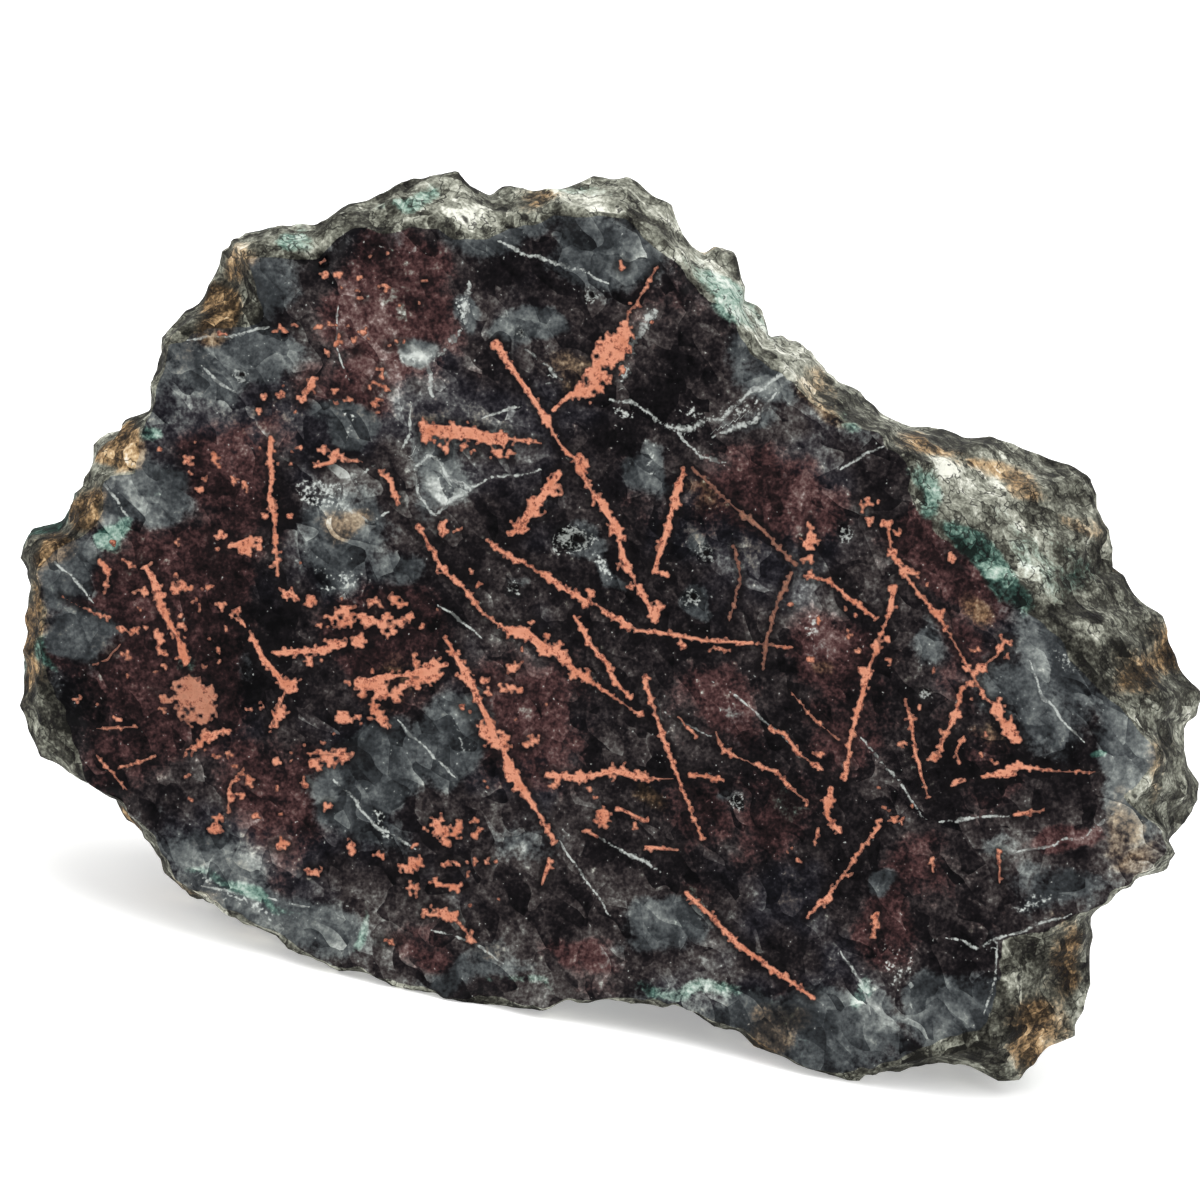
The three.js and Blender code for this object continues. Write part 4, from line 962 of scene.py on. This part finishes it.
# Lumps and patches: place, length, breadth in mm and turn in degrees.
COPPER_LUMPS = [
    (58, 46.4, 2, 1.5, -60), (59.5, 49.8, 1.2, 1.2, 0), (61.6, 52.8, 2.2, 1.2, -60),
    (62.2, 56.4, 1.1, 1, 0), (63.4, 58.5, 1.2, 0.8, 0), (65.5, 60.8, 1.3, 1.4, 0), (54.8, 42, 1.2, 1, 0),
    (42.7, 43.3, 1.7, 2.4, 0), (44.5, 44.8, 1, 1.3, 0), (46.4, 44.6, 0.9, 1.1, 0),
    (47.5, 44.8, 0.9, 1.2, 0), (49.7, 45.4, 1.2, 1.1, 0), (51, 45.4, 0.9, 1.2, 0),
    (51.9, 52.6, 1.6, 2.2, -40), (55.5, 48.8, 1.3, 1.7, 0), (53.7, 51.4, 1.6, 1.1, 0),
    (59.2, 38.4, 4.6, 2.5, 38), (61, 35.2, 4.4, 3.2, 38), (62.6, 33.4, 1.8, 2.2, 40),
    (62.2, 26.6, 1, 0.9, 0), (63.6, 30.4, 1, 0.7, 40), (67.5, 50.2, 1, 1.8, 10),
    (66.7, 57.3, 0.8, 0.8, 0), (59.1, 59.3, 0.8, 1.2, 20), (58.3, 60.1, 1.4, 0.9, -30),
    (50.8, 55.6, 1.2, 0.9, 0), (68.1, 64.4, 1, 0.7, 0), (71.6, 64.8, 1.2, 0.6, 0),
    (72.9, 65.1, 0.7, 0.5, 0), (44.2, 56.8, 1.2, 1.3, 0), (50.9, 63.4, 1.2, 0.9, 0),
    (55.8, 65, 1.8, 1.4, -30), (52.4, 63.2, 1.3, 1.5, 0), (57.6, 67.2, 1.2, 1, -30),
    (44.2, 53, 1, 1.7, 0), (45.7, 53.1, 0.7, 0.6, 0), (47, 57.2, 0.7, 0.6, 0), (47.8, 58.5, 0.8, 0.6, 0),
    (51.2, 66.7, 0.9, 0.7, 0), (54.7, 63.4, 0.8, 0.6, 0), (53.4, 62.2, 0.7, 0.6, 0),
    (48.5, 68, 1.1, 0.7, 0), (50.3, 68.5, 1, 0.6, 0), (52, 69, 1.1, 0.7, 0), (48.7, 69.2, 0.7, 0.6, 0),
    (86.8, 50.2, 1.3, 1, 0), (87.7, 50.3, 0.7, 0.6, 0), (86.9, 51.9, 1.2, 0.8, -35),
    (88.6, 52.3, 1, 1, 0), (89.7, 53.3, 0.8, 0.8, 0), (89.2, 55.2, 1.2, 1.2, 0),
    (90.3, 57.1, 1.3, 1.5, 0), (91.4, 57.3, 1, 0.6, -30), (93.8, 61.4, 1.9, 1.2, -40),
    (96.7, 66.8, 1.2, 0.8, -60), (89.4, 59, 0.9, 0.9, 0), (88.6, 63.8, 1, 0.7, 0),
    (86.7, 67.4, 1.2, 1.8, 20), (88.9, 66, 0.7, 1, 0), (87.7, 64.6, 1, 0.9, 0), (81, 54.2, 1.8, 2, 0),
    (80.8, 56, 1.7, 1, 0), (81, 53, 0.7, 1.6, 0), (81.2, 57.6, 1, 0.7, 0), (82.9, 57.9, 0.6, 0.7, 0),
    (91.1, 72.2, 0.9, 1.6, 0), (92, 70.8, 0.6, 0.8, 0), (95.9, 71.6, 0.8, 0.9, 0),
    (94.6, 73.4, 1.4, 1, 0), (93.4, 75.8, 1.2, 0.9, 0), (97.2, 69.8, 0.7, 0.5, 0),
    (98.2, 66.7, 1.3, 1, 0), (100.8, 64.1, 1, 0.7, 0), (100.6, 65.6, 0.7, 0.6, 0),
    (95.1, 55.9, 0.6, 1, 20), (84.4, 60.9, 0.6, 0.5, 0), (89, 66, 0.8, 0.7, 0), (79, 60.7, 0.6, 0.5, 0),
    (100.8, 72.8, 1.6, 2.6, 30), (102, 76.6, 1.5, 0.8, 0), (64.6, 67.9, 0.7, 0.7, 0),
    (60.3, 81.8, 1.6, 2.2, 0), (58, 77.9, 1, 1.1, 0), (55.3, 77.5, 1, 1.1, 0), (79.9, 86.1, 0.7, 0.7, 0),
    (82.8, 80.3, 1.3, 1.6, 0), (87.5, 92.4, 1, 1.2, 0), (49.8, 73.9, 2, 2, 0), (45, 65.4, 1, 1.2, 0),
    (51, 77.2, 1.3, 1.2, 0), (36.3, 69.4, 1.1, 0.9, 0), (38.2, 69.3, 0.9, 0.9, 0), (40, 68.8, 1, 0.9, 0),
    (43.4, 67.9, 0.8, 1.1, 0), (41.8, 66.4, 1.1, 0.8, 0), (17.6, 59.1, 1.2, 0.8, 0),
    (18.3, 62.7, 1.2, 0.7, 0), (16, 64, 1, 1.8, 0), (19.4, 69.6, 4.2, 3.8, 20), (20.2, 71.6, 2.2, 1.6, 0),
    (18, 68.6, 1.6, 1.4, 0), (26.5, 51.7, 0.8, 0.8, 0), (28.8, 51.7, 0.9, 0.7, 0),
    (27.1, 46.2, 1, 1.4, 0), (22, 53.6, 1.5, 0.8, 0), (21.6, 54.9, 0.9, 0.6, 0),
    (25.2, 54.2, 1.3, 1.2, 0), (18.8, 46.1, 1.4, 0.9, 0), (29.2, 46.3, 0.8, 0.6, 0),
    (33.4, 45.9, 1, 0.8, 0), (31, 38.8, 1.1, 1.3, 0), (26.4, 39.8, 0.7, 0.8, 0),
    (25.9, 41.1, 0.6, 0.7, 0), (27.8, 39.6, 0.6, 0.5, 0), (33.5, 39.2, 0.6, 0.8, 0),
    (33.6, 40.2, 0.6, 0.5, 0), (34.8, 39.8, 0.7, 0.5, 0), (37, 38.9, 0.6, 0.5, 0),
    (37.5, 40.3, 0.9, 0.9, 0), (38.1, 37.3, 0.5, 0.9, 0), (35.7, 35, 0.6, 0.5, 0),
    (39.9, 34.3, 0.9, 0.5, 0), (38.9, 34.6, 0.6, 0.5, 0), (29.6, 32.6, 0.6, 0.4, 0),
    (28, 32.4, 0.5, 0.4, 0), (36.2, 29.8, 0.5, 0.4, 0), (42.6, 28, 0.5, 0.4, 0),
    (41.9, 30.3, 0.5, 0.5, 0), (38.8, 25.4, 0.5, 0.4, 0), (33.9, 33.6, 0.5, 0.5, 0),
    (34.1, 61.6, 2.9, 1.9, 10), (36.4, 61.9, 1.4, 1.1, 0), (37.7, 60.4, 1.1, 0.9, 0),
    (38.7, 62.4, 2.3, 1.8, 0), (39.5, 60.1, 1, 0.8, 0), (40.8, 61.5, 1.2, 0.9, 0),
    (35.9, 64.2, 1, 0.7, 0), (31, 59.7, 0.8, 0.6, 0), (22.8, 61, 0.8, 0.6, 0), (28.7, 68.6, 1.4, 1.2, 0),
    (29.3, 68.3, 0.8, 0.7, 0), (31.9, 76.9, 0.9, 0.8, 0), (34.3, 71.8, 1.6, 1.3, 0),
    (43.6, 82.2, 1.7, 1.2, 30), (45.6, 83.2, 1.6, 1.3, 0), (44.4, 84.2, 1.2, 1, 0),
    (41.2, 86.8, 2.4, 1.2, 10), (41.3, 88.5, 0.9, 1, 0), (48.6, 86.1, 0.9, 0.8, 0),
    (45.3, 91.5, 1.3, 0.9, 0), (86.2, 51, 0.6, 0.7, 0), (100, 63.6, 0.6, 0.6, 0), (34.4, 61.8, 2.7, 2, 0),
    (36.4, 62.1, 1.7, 1.4, 0), (37.5, 60.3, 1.4, 1.3, 0), (38.8, 62.4, 2.9, 2.2, 0),
    (39.7, 60, 1.9, 1, -35), (40.7, 61.7, 1.3, 1.2, 0), (35.9, 64.2, 2, 1.4, 0), (33.3, 64.4, 1.7, 1, 0),
    (38.1, 69.1, 1.6, 2.4, 0), (39.5, 69.7, 1.2, 1.6, 0), (37.5, 70.6, 1, 1, 0),
    (36.6, 68.3, 1.6, 1.4, 0), (42.9, 67.3, 2.6, 1.8, 15), (41.2, 68.4, 1.8, 1.4, 0),
    (37.9, 71.6, 1.7, 1.4, -40), (34.4, 71.7, 1.7, 1.4, 0), (34.1, 75.4, 2.6, 1.2, 0),
    (51.3, 66.8, 0.9, 1.5, -50), (51.1, 68.8, 2.2, 0.9, -15), (52.9, 74.3, 2.2, 1, 25),
    (49.2, 73.7, 3.2, 2.2, -45), (48.3, 72.8, 1.7, 1.2, 0), (46.5, 70.9, 1.2, 0.7, -40),
    (19.5, 70.2, 4.4, 4.8, 0), (16.6, 69.9, 2, 0.7, -35), (20.4, 74, 3.4, 1, 35),
    (28.6, 59.5, 1.8, 0.9, -60), (31.1, 60.3, 1.3, 0.9, 0), (29.2, 68.6, 1.7, 1.4, 0),
    (28.1, 71.3, 1.8, 1.7, 0), (23.4, 61.5, 1.3, 1, 0), (17.9, 58.8, 1.9, 1.2, 0),
    (13.5, 63.1, 1.6, 0.9, 10), (16, 63.9, 0.7, 1.7, 15), (24.8, 54.5, 1.5, 1.1, 0),
    (44.6, 83, 3.4, 1.1, 20), (41.6, 86.4, 1.7, 1.8, 0), (45.1, 86.4, 1.7, 0.8, 0),
    (41.2, 89.1, 1.3, 1.4, 0), (45.1, 88.7, 2.2, 0.9, 0), (44.3, 91.4, 3, 1.3, -25),
    (47, 93.7, 1, 1.3, 0), (35.1, 84.8, 1, 1.7, 0), (31.2, 87.1, 1.5, 1.1, 0), (28.1, 84.5, 1.7, 1.2, 0),
    (32.8, 80.6, 1, 1, 0), (33.1, 76, 2.8, 1.2, 0), (30.5, 78.3, 0.9, 1.1, 0), (25.1, 78.3, 1, 1.1, 0),
    (23.1, 79.8, 0.9, 1.3, 0), (21.6, 82.9, 1.3, 1.2, 0), (38.9, 94.1, 1.6, 0.8, 0),
]
# Loose crumbs: middle, half length, half breadth of the field in mm, and how many.
CRUMB_FIELDS = [
    (31, 34, 11, 9, 34), (19, 52, 9, 8, 20), (15, 65, 9, 9, 32), (38, 62, 8, 7, 26), (27, 76, 11, 7, 34),
    (44, 86, 8, 6, 24), (90, 66, 10, 9, 16), (50, 71, 6, 9, 16), (60, 80, 8, 4, 12), (85, 82, 8, 8, 10),
    (98, 72, 6, 8, 12), (28, 50, 6, 8, 16), (36, 26, 6, 3, 10), (62, 32, 4, 6, 6),
]
SMALLEST_CRUMB = 0.45
CRUMB_RANGE = 0.95
GREYEST_FOR_CRUMBS = 0.35
GRAIN_SIZE = 0.34
GRAIN_MARGIN = 3
MISSING_GRAINS = 0.05
GRID_STEP = 0.14
GRID_TOP = 16.0
GRID_BOTTOM = 110.0
EDGE_CLEARANCE = 0.3
COPPER_FOOT = 0.01
COPPER_PROUD = 0.09
COPPER_BELOW = -0.35

crumb_draw = np.random.default_rng(11)
crumbs = []
for x, y, half_length, half_breadth, count in CRUMB_FIELDS:
    for _ in range(count):
        away, turn = math.sqrt(crumb_draw.random()), 2.0 * math.pi * crumb_draw.random()
        length = SMALLEST_CRUMB + CRUMB_RANGE * crumb_draw.random() ** 2.5
        breadth = SMALLEST_CRUMB + 0.35 * (length - SMALLEST_CRUMB)
        crumbs.append((x + half_length * away * math.cos(turn), y + half_breadth * away * math.sin(turn),
                       length, breadth, 60.0 * crumb_draw.random() - 40.0))
crumb_x, crumb_y = np.array(crumbs)[:, :2].T
in_grey = stained(crumb_x, crumb_y, CHALCEDONY_CLOUDS) > GREYEST_FOR_CRUMBS
crumbs = [crumb for crumb, left_out in zip(crumbs, in_grey) if not left_out]


def window(low, high, x, y):
    """The block of a near-regular grid of places that covers a box, with two cells to spare."""
    step = (x[-1, 0] - x[0, 0]) / (len(x) - 1)
    first = np.floor((np.asarray(low) - (x[0, 0], y[0, 0])) / step).astype(int) - 2
    last = np.ceil((np.asarray(high) - (x[0, 0], y[0, 0])) / step).astype(int) + 3
    first = np.maximum(first, 0)
    return np.s_[first[0]:last[0], first[1]:last[1]]


def blade_depth(x, y, blades, core, spread):
    """How deep inside the nearest blade a point lies, in mm: its half width there less the distance to
    its line. The half width is core of the nominal one, swelling and thinning along the blade, plus a
    share of spread."""
    depth = np.full(x.shape, -FAR)
    for index, (width, raggedness, route) in enumerate(blades):
        near = window(np.min(route, axis=0) - 1.5, np.max(route, axis=0) + 1.5, x, y)
        offset, share = nearest_on_route(x[near], y[near], route)
        swell = flat_noise(share * 1.3 * len(route), np.full(share.shape, 3.7 * index), 1.0, 7.0)
        half = 0.5 * width * (core + 0.35 * swell) + raggedness * (0.25 + 0.45 * width) * spread[near]
        depth[near] = np.maximum(depth[near], half - np.hypot(offset[..., 0], offset[..., 1]))
    return depth


def lump_depth(x, y, patches, spread):
    """How deep inside the nearest lump a point lies, in mm: one less its elliptic radius, times its half
    breadth, plus a share of spread."""
    depth = np.full(x.shape, -FAR)
    for px, py, length, breadth, turn in patches:
        half = 0.75 * max(length, breadth) + 0.5
        near = window((px - half, py - half), (px + half, py + half), x, y)
        along, aside = turned(x[near] - px, y[near] - py, turn)
        radius = np.hypot(along / (0.5 * length), aside / (0.5 * breadth))
        narrow = min(length, breadth)
        inside = (1.0 - radius) * 0.5 * narrow + (0.2 + 0.2 * narrow) * spread[near]
        depth[near] = np.maximum(depth[near], inside)
    return depth


# The copper's grains: a square lattice, each grain shaken by most of a cell.
lattice = np.arange(-float(GRAIN_MARGIN), SHEET / GRAIN_SIZE + GRAIN_MARGIN)
column, row = np.meshgrid(lattice, lattice, indexing="ij")
grain_x = (column + 0.08 + 0.84 * cell_number(column, row, 0.0, 11)) * GRAIN_SIZE
grain_y = (row + 0.08 + 0.84 * cell_number(column, row, 0.0, 12)) * GRAIN_SIZE
grain_luck = 1.2 * cell_number(column, row, 0.0, 13) ** 2.0 - 0.45
clump_luck = 1.3 * cell_number(np.floor(grain_x / 0.8), np.floor(grain_y / 0.8), 0.0, 14) ** 2.5 - 0.35
grain_depth = np.maximum(
    blade_depth(grain_x, grain_y, COPPER_BLADES + BROWN_BLADES, 0.75, 0.4 * grain_luck + 0.6 * clump_luck),
    lump_depth(grain_x, grain_y, COPPER_LUMPS + crumbs, 0.5 * grain_luck + 0.5 * clump_luck))
is_copper = (grain_depth > 0.0) & (cell_number(column, row, 0.0, 15) > MISSING_GRAINS)

# The edge of the copper is halfway between the nearest copper grain and the nearest grain of stone.
grid_columns = np.arange(0.0, SHEET, GRID_STEP)
grid_rows = np.arange(GRID_TOP, GRID_BOTTOM, GRID_STEP)
grid_x, grid_y = np.meshgrid(grid_columns, grid_rows, indexing="ij")
wavy_x = grid_x + 0.08 * flat_noise(grid_x, grid_y, 0.42, 5.0)
wavy_y = grid_y + 0.08 * flat_noise(grid_x, grid_y, 0.42, 9.0)
to_copper = np.full(grid_x.shape, FAR)
to_stone = np.full(grid_x.shape, FAR)
home_column = np.floor(wavy_x / GRAIN_SIZE).astype(int)
home_row = np.floor(wavy_y / GRAIN_SIZE).astype(int)
for a, b in product((-2, -1, 0, 1, 2), repeat=2):
    i, j = home_column + a + GRAIN_MARGIN, home_row + b + GRAIN_MARGIN
    away = (np.abs(wavy_x - grain_x[i, j]) ** 3 + np.abs(wavy_y - grain_y[i, j]) ** 3) ** (1.0 / 3.0)
    to_copper = np.where(is_copper[i, j], np.minimum(to_copper, away), to_copper)
    to_stone = np.where(is_copper[i, j], to_stone, np.minimum(to_stone, away))
field = 0.5 * (to_stone - to_copper)
still = np.zeros(grid_x.shape)
field = np.maximum(field, blade_depth(wavy_x, wavy_y, COPPER_BLADES + BROWN_BLADES, 0.55, still))
brown = blade_depth(grid_x, grid_y, BROWN_BLADES, 1.0, still) > -0.5

# No copper hangs over the edge of the face or over a hollow.
across, upward = grid_x - MIDDLE[0], MIDDLE[1] - grid_y
face_reach = np.interp(np.arctan2(upward, across) % (2.0 * math.pi), TURN_SAMPLES, SAWN_REACH)
field = np.minimum(field, face_reach - np.hypot(across, upward) - EDGE_CLEARANCE)
for x, y, length, breadth, depth in HOLLOWS:
    hollow = np.hypot((grid_x - x) / (0.5 * length + 0.5), (grid_y - y) / (0.5 * breadth + 0.5))
    field = np.minimum(field, 2.0 * (hollow - 1.0))


def cut_plate(field):
    """Triangles of the part of the grid where the field is above zero: each cell's corners and edge
    crossings are walked round in order and fanned out. Gives grid places, field values and triangles."""
    columns, rows = field.shape
    node = np.arange(field.size).reshape(field.shape)
    corners = [(0, 0), (1, 0), (1, 1), (0, 1)]
    value = [field[a:columns - 1 + a, b:rows - 1 + b].ravel() for a, b in corners]
    name = [node[a:columns - 1 + a, b:rows - 1 + b].ravel() for a, b in corners]
    live = np.any([v > 0 for v in value], axis=0)
    value = [v[live] for v in value]
    name = [n[live] for n in name]
    slots, used = [], []
    for k in range(4):
        after = (k + 1) % 4
        crossing = field.size * (1 + k % 2) + np.minimum(name[k], name[after])
        slots += [name[k], crossing]
        used += [value[k] > 0, (value[k] > 0) != (value[after] > 0)]
    slots, used = np.stack(slots, axis=1), np.stack(used, axis=1)
    order = np.argsort(~used, axis=1, kind="stable")
    walk = np.take_along_axis(slots, order, axis=1)
    count = used.sum(axis=1)
    fans = [walk[count > k + 1][:, [0, k, k + 1]] for k in range(1, 5)]
    names, triangles = np.unique(np.concatenate(fans), return_inverse=True)
    kind, first = np.divmod(names, field.size)
    second = np.where(kind == 0, first, np.where(kind == 1, first + rows, first + 1))
    low, high = field.ravel()[first], field.ravel()[second]
    share = np.where(kind == 0, 0.0, low / np.where(kind == 0, 1.0, low - high))
    at = np.stack(np.divmod(first, rows), axis=1) * (1 - share[:, None])
    at = at + np.stack(np.divmod(second, rows), axis=1) * share[:, None]
    return at, np.where(kind == 0, low, 0.0), triangles.reshape(-1, 3)


plate_at, plate_depth, plate_faces = cut_plate(field)
plate_x = plate_at[:, 0] * GRID_STEP
plate_y = plate_at[:, 1] * GRID_STEP + GRID_TOP
plate_right, plate_up = plate_x - SHEET / 2, SHEET / 2 - plate_y
pitted = flat_noise(plate_x, plate_y, 0.3, 1.0)
plate_out = COPPER_FOOT + COPPER_PROUD * smooth_step(plate_depth, 0.0, 0.2) * (1.0 + 0.35 * pitted)
plate_points = len(plate_x)
sides = np.concatenate([plate_faces[:, [0, 1]], plate_faces[:, [1, 2]], plate_faces[:, [2, 0]]])
_, which, times = np.unique(np.sort(sides, axis=1), axis=0, return_index=True, return_counts=True)
start, end = sides[which[times == 1]].T
copper_points = np.concatenate([
    in_part_frame(plate_right, plate_up, plate_out),
    in_part_frame(plate_right, plate_up, np.full(plate_points, COPPER_BELOW)),
])
copper_faces = np.concatenate([
    plate_faces[:, ::-1],
    plate_faces + plate_points,
    np.stack([start, end, end + plate_points], axis=1),
    np.stack([start, end + plate_points, start + plate_points], axis=1),
])
copper = mesh_piece("copper_blades", copper_points, copper_faces)
paint(copper, "inside", np.tile(plate_depth, 2))

# Brown oxide covers the brown blades, and half covers the largest lump, at the lower left.
LARGEST_LUMP = (19.6, 70.0)
LUMP_REACH = 3.4
place = np.rint(plate_at).astype(int)
on_lump = np.hypot(plate_x - LARGEST_LUMP[0], plate_y - LARGEST_LUMP[1]) < LUMP_REACH
tarnish = np.maximum(brown[place[:, 0], place[:, 1]], 0.5 * on_lump)
paint(copper, "brown", np.tile(tarnish, 2))

# The stone is painted near-black for a hair's breadth all round the copper.
grid_at_x = np.clip(np.rint(stone_x / GRID_STEP).astype(int), 0, grid_x.shape[0] - 1)
grid_at_y = np.clip(np.rint((stone_y - GRID_TOP) / GRID_STEP).astype(int), 0, grid_x.shape[1] - 1)
beside = blade_depth(grid_x, grid_y, COPPER_BLADES + BROWN_BLADES, 1.0, still)
beside = np.maximum(beside, lump_depth(grid_x, grid_y, COPPER_LUMPS, still))[grid_at_x, grid_at_y]
paint(stone, "copper_dark_rim", 0.75 * on_face * smooth_step(beside, -0.75, -0.1))

COPPER_PALE = (0.590, 0.245, 0.148)
COPPER_BRIGHT = (0.470, 0.158, 0.082)
COPPER_DEEP = (0.290, 0.080, 0.042)
COPPER_EDGE = (0.060, 0.018, 0.011)
OXIDE_BROWN = (0.110, 0.055, 0.034)


def copper_material():
    """Dull cut copper, darker in its pits and along its edges, and brown where it has oxidised."""
    material = bpy.data.materials.new("cut_native_copper")
    material.use_nodes = True
    tree = material.node_tree
    shader = tree.nodes["Principled BSDF"]
    blush = mottle(tree, 2.5, 5.0, 0.65)
    pits = mottle(tree, 0.45, 4.0, 0.65, 0.7)
    colour = layered(tree, eased(tree, blush, 0.42, 0.70), COPPER_PALE, COPPER_BRIGHT)
    colour = layered(tree, eased(tree, pits, 0.48, 0.64), colour, COPPER_DEEP)
    colour = layered(tree, eased(tree, pits, 0.58, 0.68, 0.0, 0.8), colour, COPPER_EDGE)
    skin = sums(tree, "MULTIPLY", painted(tree, "brown"), eased(tree, pits, 0.30, 0.60, 1.0, 0.6))
    colour = layered(tree, skin, colour, OXIDE_BROWN)
    colour = layered(tree, eased(tree, painted(tree, "inside"), 0.02, 0.14, 0.85, 0.0), colour, COPPER_EDGE)
    tree.links.new(colour, shader.inputs["Base Color"])
    shader.inputs["Metallic"].default_value = 0.35
    tree.links.new(eased(tree, pits, 0.35, 0.70, 0.42, 0.62), shader.inputs["Roughness"])
    bump = put(tree, "ShaderNodeBump", {"Height": pits, "Strength": 0.3, "Distance": 0.0001})
    tree.links.new(bump.outputs["Normal"], shader.inputs["Normal"])
    return material


copper.data.materials.append(copper_material())
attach(copper, "root")

# The stage
# A plain pale floor with soft studio light, and the camera square to the sawn face.

FLOOR_HALF = 4.0
floor_mesh = bpy.data.meshes.new("floor")
floor_corners = np.array([(-1, -1, 0), (1, -1, 0), (1, 1, 0), (-1, 1, 0)]) * FLOOR_HALF
floor_mesh.from_pydata(floor_corners.tolist(), [], [(0, 1, 2, 3)])
floor = bpy.data.objects.new("floor", floor_mesh)
bpy.context.scene.collection.objects.link(floor)
paper = bpy.data.materials.new("white_paper")
paper.use_nodes = True
paper_inputs = paper.node_tree.nodes["Principled BSDF"].inputs
paper_inputs["Base Color"].default_value = (0.9, 0.9, 0.9, 1.0)
paper_inputs["Roughness"].default_value = 0.9
paper_inputs["Specular IOR Level"].default_value = 0.0
paper_inputs["Emission Color"].default_value = (1.0, 1.0, 1.0, 1.0)
paper_inputs["Emission Strength"].default_value = 0.36
floor.data.materials.append(paper)

CAMERA_DISTANCE = CAMERA_GAP * MM
FRAME_WIDTH = SHEET * MM
camera_data = bpy.data.cameras.new("camera")
camera_data.sensor_width = 36.0
camera_data.lens = camera_data.sensor_width * CAMERA_DISTANCE / FRAME_WIDTH
camera = bpy.data.objects.new("camera", camera_data)
bpy.context.scene.collection.objects.link(camera)
turn = Matrix([Vector(FACE_RIGHT), Vector(FACE_UP), Vector(FACE_OUT)]).transposed().to_4x4()
camera.matrix_world = Matrix.Translation(Vector(FACE_CENTRE * MM + FACE_OUT * CAMERA_DISTANCE)) @ turn
bpy.context.scene.camera = camera

world = bpy.data.worlds.new("studio")
world.use_nodes = True
sky = world.node_tree.nodes["Background"].inputs
sky["Color"].default_value = (1.0, 1.0, 1.0, 1.0)
sky["Strength"].default_value = 0.35
bpy.context.scene.world = world


STONE_MIDDLE = Vector((0, 0, 0.04))


def softbox(name, place, size, power):
    """A square soft light at a place, turned to the stone."""
    data = bpy.data.lights.new(name, "AREA")
    data.size = size
    data.energy = power
    lamp = bpy.data.objects.new(name, data)
    lamp.location = place
    lamp.rotation_euler = (STONE_MIDDLE - Vector(place)).to_track_quat("-Z", "Y").to_euler()
    bpy.context.scene.collection.objects.link(lamp)


softbox("overhead", (0.1, -0.1, 2.2), 3.0, 55.0)
softbox("left_window", (-1.5, -0.8, 1.1), 1.2, 20.0)
softbox("right_window", (1.5, -0.8, 1.0), 1.2, 14.0)
softbox("back_window", (0.2, 1.8, 0.9), 1.2, 10.0)
bpy.context.scene.view_settings.view_transform = "Standard"
